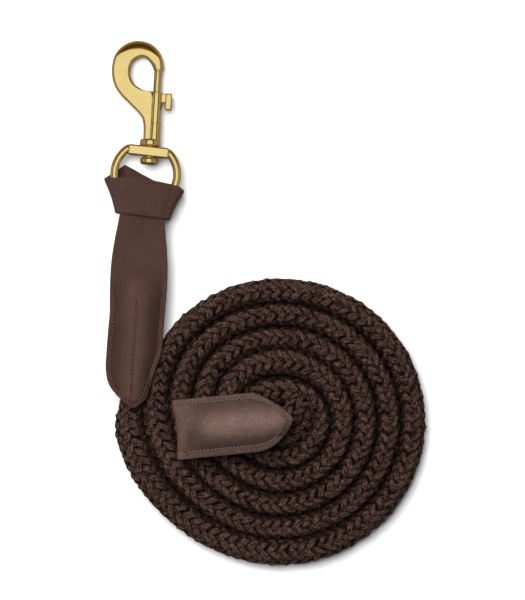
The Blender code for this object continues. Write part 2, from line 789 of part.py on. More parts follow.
build()
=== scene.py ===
"""Looks of the lead rope: braided rope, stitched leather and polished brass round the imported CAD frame.

Lengths are millimetres from the coil's centre, as in the CAD source, +Z up and +Y towards the snap.
world() turns them into metres in the row frame, whose origin is the middle of the footprint.
"""
import math

import bpy
import numpy as np
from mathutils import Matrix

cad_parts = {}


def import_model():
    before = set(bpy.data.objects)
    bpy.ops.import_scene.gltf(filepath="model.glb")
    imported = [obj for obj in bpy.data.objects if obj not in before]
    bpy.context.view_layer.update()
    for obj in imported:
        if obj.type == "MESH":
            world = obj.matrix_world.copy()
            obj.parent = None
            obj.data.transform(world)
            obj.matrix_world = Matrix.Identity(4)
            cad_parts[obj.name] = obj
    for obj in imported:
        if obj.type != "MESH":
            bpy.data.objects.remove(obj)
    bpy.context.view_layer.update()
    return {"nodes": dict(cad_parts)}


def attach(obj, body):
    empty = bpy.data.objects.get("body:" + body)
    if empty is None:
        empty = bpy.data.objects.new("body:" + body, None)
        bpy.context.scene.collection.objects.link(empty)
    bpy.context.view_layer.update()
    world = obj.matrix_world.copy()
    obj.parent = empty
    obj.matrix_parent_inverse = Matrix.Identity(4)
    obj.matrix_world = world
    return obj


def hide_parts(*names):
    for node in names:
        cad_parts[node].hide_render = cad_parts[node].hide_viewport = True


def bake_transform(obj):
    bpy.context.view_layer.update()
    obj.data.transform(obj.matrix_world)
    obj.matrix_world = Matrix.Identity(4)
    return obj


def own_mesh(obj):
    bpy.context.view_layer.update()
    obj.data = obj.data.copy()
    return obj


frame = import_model()

MM = 0.001
FOOTPRINT_CENTRE = np.array((-9.975, 72.515, 0.0))
Z_AXIS = np.array((0.0, 0.0, 1.0))

# Rope
ROPE_Z = 8.0                    # centre height of the flat coil
ROPE_HALF_WIDTH = 7.6           # pressed between its neighbours
FREE_HALF_WIDTH = 8.5           # the start of the outer turn, free on one side
START_HALF_WIDTH = 9.7          # where it comes out of the leather
BOUND_RADIUS = 6.8              # gripped inside the leather
END_RADIUS = 5.4                # under the whipping
TURN_PITCH = 14.35
OUTER_RADIUS = 81.0
COIL_STRETCH = 0.8
COIL_START = 184.0
COIL_END = 2064.0
BEND_FOOT = np.array((2.0, -8.45, 8.0))
BEND_TOP = np.array((2.0, 1.45, 24.9))
BEND_REACH = 11.2
BEND_SWING = 10.6               # how far the bend leans back over the hollow in the middle
INNER_TOP = 1890.0
INNER_TUCK = 3.8                # the last turn lies closer in
WIDEST = 9.3
TOUCH = 0.45                    # how far neighbouring turns sink into each other
PATH_STEP = 1.0
START_SHIFT = 1.2               # the wide start bulges outward
LEAD_REACH = 40.0               # how far round the coil the lead end's length starts

# Braid: eight carriers wind each way and cross two over, two under
CARRIERS = 8
LOBE = 45.0                     # degrees between neighbouring carriers
LAY = 51.0                      # rope length of one carrier's turn
CARRIER_HALF_WIDTH = 2.3
CARRIER_HALF_THICK = 1.15
CRIMP = 1.2                     # how far a carrier rises and dips as it crosses the others
CRIMP_LEAN = 0.26
FLATTENED = 0.05                # the underside lies flat on the table
BRAID_PHASE = 22.5              # puts the meeting line of two rows of lobes along the top
CARRIER_ACROSS = np.array((-1.0, -0.78, -0.52, -0.27, 0.0, 0.27, 0.52, 0.78, 1.0, 0.55, 0.0, -0.55))
CARRIER_RISE = np.array((-0.3, 0.5, 0.76, 0.98, 0.9, 1.0, 0.8, 0.5, -0.3, -0.9, -1.0, -0.9))
CARRIER_SHADE = np.array((0.0, 0.55, 0.9, 1.0, 0.85, 1.0, 0.9, 0.55, 0.0, 0.0, 0.0, 0.0))

# Leather
STRAP_THICK = 2.0
COLLAR_THICK = 1.8
GAP = 0.3
FIN = STRAP_THICK / 2 + GAP / 2
CROWN = BOUND_RADIUS + 3 * GAP + STRAP_THICK / 2
SHEET_COLUMNS = 91              # points across a leather sheet
SEAM_INSET = 2.9
STITCH_PITCH = 2.3
STITCH_LENGTH = 1.75
THREAD_RADIUS = 0.4
NARROWEST_DOME = 9.5            # half width of the leather's dome where a tip narrows over the rope
FLAT_CROWN = 0.4                # crown mark of flat leather, where neither highlight nor shade is painted

# The clip end lies on the coil's edge and slopes down to the table towards the snap
PITCH = math.radians(3.8)
PITCH_Y = 45.0
PITCH_Z = 17.0

# Swivel ring and snap
RING_CENTRE = np.array((-82.6, 152.0, 0.0))
RING_RADIUS = 19.3
WIRE_RADIUS = 2.5
RING_FOOT_Y = 135.2
BAR_CENTRE = np.array((-80.8, 166.0, 0.0))
BAR_TILT = math.radians(-6.4)
BAR_SIZE = (25.0, 6.2, 7.4)
SNAP_ORIGIN = np.array((-80.0, 171.0, 0.0))
SNAP_LEAN = math.radians(-3.3)
BARREL_X = 2.4
BARREL_RADIUS = 3.6
BARREL_TOP = 31.8
BOLT_RADIUS = 2.35
BOLT_BORE = 2.65
BOLT_FOOT = 24.4
TIP_Y = 45.2
HOOK_HALF_THICK = 3.35
# Radius, foot, top and rounding of the turned parts
BARREL_BASE = (BARREL_RADIUS, 2.1, 12.95, 0.04)
FLANGE = (6.2, -1.75, 2.4, 1.1)
RIVET_SHAFT = (2.1, -12.0, 2.9, 0.2)
RIVET_HEAD = (5.4, -13.1, -8.75, 1.6, 8)
# Two corners and the rounding of the thumb lever's parts
LEVER_PLATE = ((7.9, 21.0, -2.6), (11.9, 31.3, 2.6), 0.9)
LEVER_STUB = ((1.7, 25.5, -1.1), (9.5, 31.0, 1.1), 0.4)
SPRING_TURNS = 7
SPRING_RADIUS = 1.9
SPRING_WIRE = 0.33

# End cap
CAP_FOLD = np.array((-63.9, -5.2, 26.2))
CAP_TURN = math.radians(5.6)
CAP_HALF = 18.3
CAP_LENGTH = 72.65
CAP_SHOULDER = 45.4
CAP_ROUNDNESS = (1.7, 2.6)      # of the tip's upper and lower edge; 1 would be straight
CAP_INSET = (3.2, 4.5)          # of the seam along the upper and lower edge


# ---------------------------------------------------------------- vectors and curves

def smooth(low, high, value):
    t = np.clip((np.asarray(value, float) - low) / (high - low), 0.0, 1.0)
    return t * t * (3 - 2 * t)


def bump(value, width):
    """1 at zero, falling softly to 0 over a few widths."""
    return np.exp(-(np.asarray(value) / width) ** 2)


def world(points):
    return (np.asarray(points, float) - FOOTPRINT_CENTRE) * MM


def unit(vectors):
    return vectors / np.linalg.norm(vectors, axis=-1, keepdims=True)


def spline(points, steps):
    """Catmull-Rom through the points, with this many samples to each span."""
    points = np.asarray(points, float)
    ends = np.vstack((2 * points[0] - points[1], points, 2 * points[-1] - points[-2]))
    t = (np.arange(steps) / steps)[:, None]
    out = []
    for a, b, c, d in zip(ends, ends[1:], ends[2:], ends[3:]):
        out.append(0.5 * (2 * b + (c - a) * t + (2 * a - 5 * b + 4 * c - d) * t ** 2
                          + (3 * b - a - 3 * c + d) * t ** 3))
    return np.vstack(out + [points[-1:]])


def lengths(points):
    """Distance along a polyline at each of its points."""
    steps = np.linalg.norm(np.diff(points[:, :3], axis=0), axis=1)
    return np.concatenate(([0.0], np.cumsum(steps)))


def resample(points, spacing):
    """The same polyline with evenly spaced points; extra columns follow along."""
    reach = lengths(points)
    count = max(int(round(reach[-1] / spacing)), 2)
    at = np.linspace(0, reach[-1], count + 1)
    return np.stack([np.interp(at, reach, column) for column in points.T], axis=1)


def tangents(points):
    return unit(np.gradient(points, axis=0))


def path_frames(points):
    """Tangent, side and up at each point, the side staying level."""
    ahead = tangents(points)
    side = unit(np.cross(ahead, Z_AXIS))
    return ahead, side, np.cross(side, ahead)


def turned(points, angle):
    """Turned about +Z."""
    c, s = math.cos(angle), math.sin(angle)
    x, y, z = np.moveaxis(np.asarray(points, float), -1, 0)
    return np.stack((x * c - y * s, x * s + y * c, z), axis=-1)


def pitched(points):
    """From the clip end's own flat plane to its place above the table."""
    c, s = math.cos(-PITCH), math.sin(-PITCH)
    x, y, z = np.moveaxis(np.asarray(points, float), -1, 0)
    y = y - PITCH_Y
    return np.stack((x, y * c - z * s + PITCH_Y, y * s + z * c + PITCH_Z), axis=-1)


def in_snap(points):
    return pitched(turned(points, SNAP_LEAN) + SNAP_ORIGIN)


def in_cap(points):
    return turned(points, CAP_TURN) + CAP_FOLD


# ---------------------------------------------------------------- mesh writers

def mesh_piece(name, points, faces, mats, face_mat=None):
    """A mesh object from points in millimetres and a list of equal-sided faces, or a list of such lists."""
    groups = faces if isinstance(faces, list) else [faces]
    mesh = bpy.data.meshes.new(name)
    sides = np.concatenate([np.full(len(g), g.shape[1]) for g in groups])
    corners = np.concatenate([g.ravel() for g in groups])
    mesh.vertices.add(len(points))
    mesh.vertices.foreach_set("co", world(points).astype(np.float32).ravel())
    mesh.loops.add(len(corners))
    mesh.loops.foreach_set("vertex_index", corners.astype(np.int32))
    mesh.polygons.add(len(sides))
    mesh.polygons.foreach_set("loop_start", (np.cumsum(sides) - sides).astype(np.int32))
    mesh.polygons.foreach_set("use_smooth", np.ones(len(sides), bool))
    if face_mat is not None:
        mesh.polygons.foreach_set("material_index", face_mat.astype(np.int32))
    mesh.update(calc_edges=True)
    mesh.validate()
    for mat in mats:
        mesh.materials.append(mat)
    obj = bpy.data.objects.new(name, mesh)
    bpy.context.scene.collection.objects.link(obj)
    return obj


def tube_faces(rings, sides, first=0, loop=False):
    """Faces of a tube whose points are stored ring by ring, with its two end faces."""
    i = np.arange(rings if loop else rings - 1)[:, None]
    j = np.arange(sides)[None, :]
    k = (j + 1) % sides
    n = (i + 1) % rings
    quads = np.stack((i * sides + j, i * sides + k, n * sides + k, n * sides + j), axis=-1).reshape(-1, 4)
    ends = np.stack((np.arange(sides)[::-1], np.arange(sides) + (rings - 1) * sides))
    return (quads + first, None) if loop else (quads + first, ends + first)


def tubes_piece(name, tubes, mats, loop=False):
    """One mesh of several closed tubes, each an array of rings by sides by 3."""
    points, quads, ends = [], [], []
    first = 0
    for rings in tubes:
        side_faces, end_faces = tube_faces(rings.shape[0], rings.shape[1], first, loop)
        points.append(rings.reshape(-1, 3))
        quads.append(side_faces)
        if end_faces is not None:
            ends.extend(end_faces)
        first += rings.shape[0] * rings.shape[1]
    faces = [np.concatenate(quads)] + [e[None, :] for e in ends]
    return mesh_piece(name, np.concatenate(points), faces, mats)


def ring_of(centre, across, rise, outline):
    """Rings of an outline (sides by 2) set up at every centre, on its across and rise vectors."""
    return (centre[:, None, :] + outline[None, :, :1] * across[:, None, :]
            + outline[None, :, 1:] * rise[:, None, :])


def circle(radius, sides):
    """Clockwise seen along the path, so that the faces point out."""
    angle = math.tau * np.arange(sides) / sides
    return radius * np.stack((-np.cos(angle), np.sin(angle)), axis=1)


def wire(points, radius, sides=12, loop=False):
    """A round wire along a polyline; radius may change along it."""
    points = np.asarray(points, float)
    ahead = tangents(points)
    if loop:
        ahead = unit(np.roll(points, -1, axis=0) - np.roll(points, 1, axis=0))
    side = unit(np.cross(ahead, Z_AXIS))
    up = np.cross(side, ahead)
    radii = np.broadcast_to(radius, (len(points),))[:, None, None]
    return points[:, None, :] + (ring_of(points, side, up, circle(1.0, sides)) - points[:, None, :]) * radii


def lathe(profile, sides=40):
    """Rings about +Y from (radius, height) pairs."""
    profile = np.asarray(profile, float)
    angle = math.tau * np.arange(sides) / sides
    x = -profile[:, :1] * np.cos(angle)
    z = profile[:, :1] * np.sin(angle)
    y = np.broadcast_to(profile[:, 1:], x.shape)
    return np.stack((x, y, z), axis=-1)


def rounded_profile(radius, low, high, edge, steps=5):
    """Radius and height up a disc's side with both rims rounded."""
    angle = np.linspace(0, math.pi / 2, steps)
    foot = np.stack((radius - edge + edge * np.sin(angle), low + edge - edge * np.cos(angle)), axis=1)
    head = np.stack((radius - edge + edge * np.cos(angle), high - edge + edge * np.sin(angle)), axis=1)
    return np.vstack(((0.02, low), foot, head, (0.02, high)))


def rounded_bar(low, high, edge, steps=6):
    """A box between two corners with rounded edges, as rings along X."""
    low, high = np.asarray(low, float), np.asarray(high, float)
    centre, half = (low + high) / 2, (high - low) / 2
    turn = np.linspace(0, math.pi / 2, steps)
    keep = 0.2                                  # length of the flat next to each rounded edge
    inset = np.concatenate((edge * (1 - np.sin(turn)), (0, 0), edge * (1 - np.cos(turn))))
    along = np.concatenate((-half[0] + edge * (1 - np.cos(turn)),
                            (-half[0] + edge + keep, half[0] - edge - keep),
                            half[0] - edge * (1 - np.sin(turn))))
    rings = []
    for x, cut in zip(along, inset):
        radius = max(edge - cut, 0.02)
        outline = []
        for quarter in range(4):
            start = math.pi - quarter * math.pi / 2
            corner = np.array((math.copysign(half[1] - edge, math.cos(start - 0.7)),
                               math.copysign(half[2] - edge, math.sin(start - 0.7))))
            arc = start - turn
            points = corner + radius * np.stack((np.cos(arc), np.sin(arc)), axis=1)
            before = points[0] - keep * np.array((math.sin(start), -math.cos(start)))
            after = points[-1] + keep * np.array((math.sin(arc[-1]), -math.cos(arc[-1])))
            outline.append(np.vstack((before, points, after)))
        outline = np.vstack(outline)
        rings.append(np.column_stack((np.full(len(outline), x), outline)))
    return np.stack(rings)[:, ::-1] + centre


def grid_normals(grid):
    along = np.gradient(grid, axis=0)
    across = np.gradient(grid, axis=1)
    return unit(np.cross(across, along))


def leather_sheet(name, middle, thickness, mats, dent=0.0, groove=0.0, crown=FLAT_CROWN):
    """A closed leather sheet round a grid of middle points, its rim eased; mats are for faces and cut edge.

    dent sinks the outer face; groove and crown, 0 to 1, mark the painted shade in a seam groove and the
    painted highlight on top of the rope, with painted shade in the hollows beside it.
    """
    rows, columns = middle.shape[:2]
    normal = grid_normals(middle)
    ease = np.ones((rows, columns))
    for depth, share in ((1, 0.88), (0, 0.6)):
        ease[depth, :] = ease[-1 - depth, :] = share
        ease[:, depth] = ease[:, -1 - depth] = share
    half = (thickness / 2 * ease)[..., None]
    outer = middle + normal * (half - np.asarray(dent)[..., None])
    inner = middle - normal * half
    points = np.concatenate((outer.reshape(-1, 3), inner.reshape(-1, 3)))
    i = np.arange(rows - 1)[:, None]
    j = np.arange(columns - 1)[None, :]
    a = i * columns + j
    top = np.stack((a, a + 1, a + columns + 1, a + columns), axis=-1).reshape(-1, 4)
    bottom = top[:, ::-1] + rows * columns
    index = np.arange(rows * columns).reshape(rows, columns)
    border = np.concatenate((index[0, :-1], index[:-1, -1], index[-1, :0:-1], index[:0:-1, 0]))
    after = np.roll(border, -1)
    rim = np.stack((border, border + rows * columns, after + rows * columns, after), axis=1)
    faces = np.concatenate((top, bottom, rim))
    cut_edge = np.repeat((0, 0, 1), (len(top), len(bottom), len(rim)))
    obj = mesh_piece(name, points, faces, mats, cut_edge)
    for mark, amount, inside in (("groove", groove, 0.0), ("crown", crown, FLAT_CROWN)):
        values = np.full((2, rows, columns), inside, np.float32)
        values[0] = amount
        layer = obj.data.attributes.new(mark, "FLOAT", "POINT")
        layer.data.foreach_set("value", values.ravel())
    return obj


def on_upper(marks, upper, rows, elsewhere=0.0):
    """Values of a marking function on the upper layer's rows, and one value on the rest of the sheet."""
    values = np.full(rows.shape[:2], elsewhere)
    values[:len(upper)] = marks(upper[..., 0], upper[..., 1])
    return values


def height_normals(height, x, y, step=0.5):
    """Outward normals of a height field."""
    slope_x = (height(x + step, y) - height(x - step, y)) / (2 * step)
    slope_y = (height(x, y + step) - height(x, y - step)) / (2 * step)
    return unit(np.stack((-slope_x, -slope_y, np.ones_like(x)), axis=-1))


def seam_path(line, height, dents):
    """Thread's path on an upper layer along a line of X and Y, and the outward direction along it."""
    x, y = resample(np.asarray(line, float), 0.6).T
    lift = height_normals(height, x, y)
    depth = STRAP_THICK / 2 - dents(x, y) + 0.12
    return np.stack((x, y, height(x, y)), axis=-1) + lift * depth[:, None], lift


def stitches(path, normal):
    """Short threads laid end to end along a seam, each dipping into the leather at both ends."""
    reach = lengths(path)
    out = []
    for start in np.arange(0.4, reach[-1] - STITCH_LENGTH, STITCH_PITCH):
        at = np.linspace(start, start + STITCH_LENGTH, 9)
        line = np.stack([np.interp(at, reach, column) for column in path.T], axis=1)
        lift = np.stack([np.interp(at, reach, column) for column in normal.T], axis=1)
        t = np.linspace(-1, 1, 9)
        line = line + lift * (0.3 - 0.75 * t ** 4)[:, None]
        radius = THREAD_RADIUS * np.sqrt(1 - 0.92 * t ** 4)
        out.append(wire(line, radius, 8))
    return out


def ridden(obj, body, slot, *nodes):
    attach(obj, body)
    if nodes:
        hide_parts(*nodes)
    return obj


# ---------------------------------------------------------------- materials

def set_stops(elements, stops):
    """Fill a colour ramp with (position, colour) pairs; a colour may be one grey value."""
    while len(elements) < len(stops):
        elements.new(0.5)
    for element, (position, colour) in zip(elements, stops):
        element.position = position
        element.color = (*np.broadcast_to(colour, 3), 1)


class Look:
    """One material's node tree, written a node at a time."""

    def __init__(self, name):
        self.mat = bpy.data.materials.new(name)
        self.mat.use_nodes = True
        self.nodes = self.mat.node_tree.nodes
        self.shader = self.nodes["Principled BSDF"]

    def plug(self, socket, value):
        if hasattr(value, "is_output"):
            self.mat.node_tree.links.new(value, socket)
        else:
            socket.default_value = value

    def add(self, kind, inputs, output=0, **settings):
        """A node with these inputs (by name or number) and settings; gives one of its outputs."""
        node = self.nodes.new(kind)
        for key, value in settings.items():
            setattr(node, key, value)
        for key, value in inputs.items():
            self.plug(node.inputs[key], value)
        return node.outputs[output]

    def place(self, scale=(1, 1, 1)):
        """Object coordinates in millimetres, stretched."""
        spot = self.add("ShaderNodeTexCoord", {}, "Object")
        return self.add("ShaderNodeMapping", {"Vector": spot, "Scale": [1000 * s for s in scale]})

    def noise(self, where, scale, detail=3.0, rough=0.55, distort=0.0):
        return self.add("ShaderNodeTexNoise", {"Vector": where, "Scale": scale, "Detail": detail,
                                               "Roughness": rough, "Distortion": distort})

    def cells(self, where, scale):
        """Distance to the nearest edge between cells."""
        return self.add("ShaderNodeTexVoronoi", {"Vector": where, "Scale": scale}, feature="DISTANCE_TO_EDGE")

    def waves(self, where, scale, distort):
        return self.add("ShaderNodeTexWave", {"Vector": where, "Scale": scale, "Distortion": distort,
                                              "Detail": 2.0, "Detail Scale": 1.5})

    def span(self, value, low, high, to_low, to_high):
        return self.add("ShaderNodeMapRange", {0: value, 1: low, 2: high, 3: to_low, 4: to_high})

    def math(self, operation, a, b):
        return self.add("ShaderNodeMath", {0: a, 1: b}, operation=operation)

    def ramp(self, value, stops):
        node = self.nodes.new("ShaderNodeValToRGB")
        self.plug(node.inputs[0], value)
        set_stops(node.color_ramp.elements, stops)
        return node.outputs[0]

    def mix(self, factor, a, b):
        node = self.nodes.new("ShaderNodeMix")
        node.data_type = "RGBA"
        self.plug(node.inputs[0], factor)
        self.plug(node.inputs[6], a if hasattr(a, "is_output") else (*a, 1))
        self.plug(node.inputs[7], b if hasattr(b, "is_output") else (*b, 1))
        return node.outputs[2]

    def relief(self, height, distance, strength=1.0, under=None):
        inputs = {"Height": height, "Distance": distance * MM, "Strength": strength}
        if under is not None:
            inputs["Normal"] = under
        return self.add("ShaderNodeBump", inputs)

    def surface(self, **inputs):
        for key, value in inputs.items():
            self.plug(self.shader.inputs[key.replace("_", " ")], value)
        return self.mat


def scaled(colour, factor):
    return tuple(c * factor for c in colour)


ROPE_COLOUR = (0.142, 0.078, 0.061)
LEATHER_COLOUR = (0.054, 0.0275, 0.0215)
CAP_COLOUR = (0.084, 0.0485, 0.0395)
THREAD_COLOUR = (0.085, 0.052, 0.042)
CAP_THREAD_COLOUR = (0.15, 0.108, 0.095)
BRASS_COLOUR = (0.86, 0.66, 0.27)
SHEEN_TINT = (1.0, 0.8, 0.73, 1.0)


def yarn_look(name, colour):
    """Soft spun yarn with slits and fine fibres along each carrier; painted shade darkens it between the
    carriers and in the slits.
    """
    look = Look(name)
    shade = look.add("ShaderNodeAttribute", {}, "Fac", attribute_name="shade")
    strand = look.add("ShaderNodeUVMap", {}, uv_map="strand")
    slits = look.noise(look.add("ShaderNodeMapping", {"Vector": strand, "Scale": (9.0, 0.42, 1)}),
                       1.0, 3.0, 0.6, 0.8)
    fibre = look.noise(look.add("ShaderNodeMapping", {"Vector": strand, "Scale": (30.0, 1.3, 1)}), 1.0, 4.0)
    specks = look.noise(look.place(), 0.75, 4.0, 0.7, 1.0)
    # Painted shade from the shade mark, plus the yarn's own darker and lighter specks.
    shade_and_specks = look.math("ADD", shade, look.span(specks, 0.3, 0.62, -0.85, 0.26))
    base = look.ramp(shade_and_specks, [(0.0, scaled(colour, 0.004)), (0.32, scaled(colour, 0.03)),
                            (0.64, scaled(colour, 0.7)), (1.0, scaled(colour, 1.42))])
    # The slits are painted near black, as painted shade in them.
    slit = look.mix(look.span(slits, 0.41, 0.49, 0.94, 0.0), base, scaled(colour, 0.03))
    mixed = look.mix(look.span(fibre, 0.38, 0.6, 0.6, 0.0), slit, scaled(colour, 0.3))
    height = look.math("ADD", look.span(slits, 0.38, 0.55, 0.0, 1.0), look.math("MULTIPLY", fibre, 0.6))
    height = look.math("ADD", height, look.span(specks, 0.36, 0.6, 0.0, 1.0))
    return look.surface(Base_Color=mixed, Roughness=look.span(fibre, 0.3, 0.7, 0.7, 0.9),
                        Normal=look.relief(height, 0.6, 1.0), Specular_IOR_Level=0.12)


def core_look():
    look = Look("rope_core_yarn")
    fibre = look.noise(look.place(), 1.4, 4.0)
    # The core yarns are coloured near black, as painted shade seen through the gaps between the carriers.
    return look.surface(Base_Color=look.mix(fibre, (0.012, 0.008, 0.006), (0.03, 0.018, 0.014)),
                        Roughness=look.span(fibre, 0.3, 0.7, 0.8, 0.95), Normal=look.relief(fibre, 0.4))


def leather_look(name, colour, shine=(0.27, 0.45), ior=1.5, rough=(0.42, 0.55), relief=0.25, crown_light_and_shade=0.42,
                 creased=0.6, speckle=0.5):
    """Smooth finished leather with fine pores and creases; painted shade in the creases and the seam grooves,
    and a painted highlight on the crown with painted shade in the hollows beside it.

    The crown mark is FLAT_CROWN on flat leather, 0 just inside a seam and 1 on top of the rope.
    """
    look = Look(name)
    where = look.place()
    pores = look.cells(where, 0.95)
    grain = look.noise(where, 0.8, 4.0, 0.6)
    cloud = look.noise(where, 0.06, 3.0)
    creases = look.noise(look.place((0.4, 1, 1)), 0.45, 4.0, 0.6, 1.5)
    groove = look.add("ShaderNodeAttribute", {}, "Fac", attribute_name="groove")
    crown = look.add("ShaderNodeAttribute", {}, "Fac", attribute_name="crown")
    # polished is the colour's scale at the peak of the painted highlight on top of the rope; the crown
    # setting gives how strong the painted highlight and shade are.
    polished = 1 + crown_light_and_shade * (1 - FLAT_CROWN)
    colour = scaled(colour, polished)
    tone = look.mix(look.span(cloud, 0.3, 0.7, 0.0, 1.0), scaled(colour, 0.82), scaled(colour, 1.14))
    tone = look.mix(look.span(pores, 0.0, 0.14, 0.5, 0.0), tone, scaled(colour, 0.45))
    # Lighter grain specks: partly the grain's own tone, partly painted glints of sheen.
    tone = look.mix(look.span(grain, 0.42, 0.72, 0.0, speckle), tone, scaled(colour, 1.7))
    # Creases painted darker, as painted shade in them.
    tone = look.mix(look.span(creases, 0.3, 0.46, 0.5 * creased, 0.0), tone, scaled(colour, 0.6))
    # Painted shade in the seam grooves.
    tone = look.mix(look.math("MULTIPLY", groove, 0.92), tone, scaled(colour, 0.16))
    # Painted highlight on top of the rope and painted shade in the hollows beside the seams.
    tone = look.mix(look.span(crown, 0.0, 1.0, (1 - crown_light_and_shade * FLAT_CROWN) / polished, 1.0), (0, 0, 0), tone)
    height = look.math("ADD", look.span(pores, 0.0, 0.25, 0.0, 0.7), look.math("MULTIPLY", grain, 0.9))
    normal = look.relief(creases, 0.8 * creased, 1.0, look.relief(height, relief, 0.9))
    return look.surface(Base_Color=tone, Roughness=look.span(grain, 0.3, 0.7, *rough), Normal=normal,
                        Specular_IOR_Level=look.span(crown, 0.2, 0.9, *shine), IOR=ior,
                        Specular_Tint=SHEEN_TINT)


def thread_look(name, colour):
    look = Look(name)
    where = look.place()
    leaning = look.add("ShaderNodeMapping", {"Vector": where, "Rotation": (0.4, 0.3, 0.8)})
    twist = look.waves(leaning, 0.6, 1.0)
    return look.surface(Base_Color=look.mix(twist, scaled(colour, 0.6), scaled(colour, 1.3)),
                        Roughness=look.span(twist, 0, 1, 0.5, 0.65), Normal=look.relief(twist, 0.12, 0.8))


def brass_look():
    """Polished cast brass: faint clouding, fine scratches and a little pitting."""
    look = Look("polished_brass")
    where = look.place()
    cloud = look.noise(where, 0.18, 3.0)
    scratch = look.noise(look.place((0.5, 6.0, 0.5)), 0.8, 2.0)
    pits = look.noise(where, 1.6, 2.0)
    tone = look.mix(look.span(cloud, 0.35, 0.65, 0.0, 1.0), scaled(BRASS_COLOUR, 0.93), BRASS_COLOUR)
    clouded = look.span(cloud, 0.3, 0.7, 0.09, 0.15)
    scratched = look.span(scratch, 0.55, 0.75, 0.0, 0.08)
    rough = look.math("ADD", clouded, scratched)
    waviness = look.noise(where, 0.22, 1.0)
    normal = look.relief(pits, 0.02, 0.25, look.relief(waviness, 0.5, 0.12))
    return look.surface(Base_Color=tone, Metallic=1.0, Roughness=rough, Normal=normal)


def steel_look():
    look = Look("spring_wire")
    drawn = look.noise(look.place(), 2.0, 2.0)
    tone = look.mix(drawn, (0.42, 0.42, 0.43), (0.62, 0.62, 0.63))
    return look.surface(Base_Color=tone, Metallic=1.0, Roughness=look.span(drawn, 0.3, 0.7, 0.22, 0.38),
                        Normal=look.relief(drawn, 0.03, 0.3))


def floor_look():
    """White paper that polished metal sees as brown: a painted reflection, which gives the brass its dark
    outlines.
    """
    look = Look("studio_floor")
    paper = look.noise(look.place(), 0.05, 3.0)
    white = look.mix(paper, (0.93, 0.93, 0.93), (0.95, 0.95, 0.95))
    mirrored = look.add("ShaderNodeLightPath", {}, "Is Glossy Ray")
    # Brown only to reflection rays: a painted dark reflection.
    return look.surface(Base_Color=look.mix(mirrored, white, (0.22, 0.17, 0.1)), Roughness=0.9,
                        Normal=look.relief(paper, 0.05, 0.1))


# ---------------------------------------------------------------- rope path

def coil_radius(angle):
    """Constant on the right half of each turn, one pitch inward on the left half."""
    steps = smooth(135, 252, angle) - 1
    for turn in range(1, 6):
        steps = steps + smooth(130 + 360 * turn, 235 + 360 * turn, angle)
    tight = INNER_TUCK * bump(angle - INNER_TOP, 55)
    start = START_SHIFT * (1 - smooth(COIL_START, COIL_START + 35, angle))
    return OUTER_RADIUS + COIL_STRETCH * np.cos(2 * np.radians(angle)) - TURN_PITCH * steps - tight + start


def coil_half_width(angle):
    """Free on the outside, pressed flat between turns, and always just touching both neighbours."""
    r = coil_radius(angle)
    pressed = smooth(262, 345, angle)
    loose = smooth(COIL_END - 330, COIL_END - 230, angle)
    half = FREE_HALF_WIDTH + (ROPE_HALF_WIDTH - FREE_HALF_WIDTH) * (pressed - 0.6 * loose)
    inside = np.where(angle < COIL_END - 360, (r - coil_radius(angle + 360)) / 2, 0)
    outside = np.where(angle > COIL_START + 345, (coil_radius(angle - 360) - r) / 2, 0)
    return np.maximum(half, np.minimum(np.maximum(inside, outside) + TOUCH, WIDEST))


def coil_line(angles):
    r = coil_radius(angles)
    turn = np.radians(angles)
    return np.stack((r * np.cos(turn), r * np.sin(turn), np.full_like(r, ROPE_Z)), axis=1)


def bend_line(angles):
    """The rope's inner end turns back over itself, on an arc that climbs on top of the coil."""
    rise = BEND_TOP - BEND_FOOT
    turn = np.radians(angles)[:, None]
    forward = np.array((BEND_REACH, 0, 0))
    swing = np.array((0, BEND_SWING, 0)) * np.sin(np.clip(turn * 1.3 - 0.3 * math.pi, 0, math.pi)) ** 2
    return BEND_FOOT + rise / 2 - rise / 2 * np.cos(turn) + forward * np.sin(turn) + swing


def lead_knots():
    start = coil_line(np.array([COIL_START]))[0]
    return np.array([start, (-91.1 - START_SHIFT, 6.0, 10.8), (-90.8 - START_SHIFT / 2, 14.0, 13.3),
                     (-90.3, 20.0, 15.0),
                     (-89.6, 28.0, 16.8), (-89.1, 36.0, 17.3), (-88.4, 50.0, 16.7), (-87.7, 63.0, 15.8),
                     (-87.3, 74.0, 15.1)])


def tail_knots():
    along = np.array((math.cos(CAP_TURN), math.sin(CAP_TURN), 0))
    return np.array([BEND_TOP] + [CAP_FOLD + along * s for s in (56.0, 46.0, 36.0, 28.0, 20.0, 13.0)])


def sized(points, half_width, half_height):
    wide = np.broadcast_to(half_width, (len(points),))
    high = np.broadcast_to(half_height, (len(points),))
    return np.column_stack((points, wide, high))


def end_radii(reach, total, start):
    """A rope end narrows as it enters the leather and again under its whipping."""
    radii = start + (BOUND_RADIUS - start) * smooth(5, 18, reach)
    return radii + (END_RADIUS - radii) * smooth(total - 18, total - 12, reach)


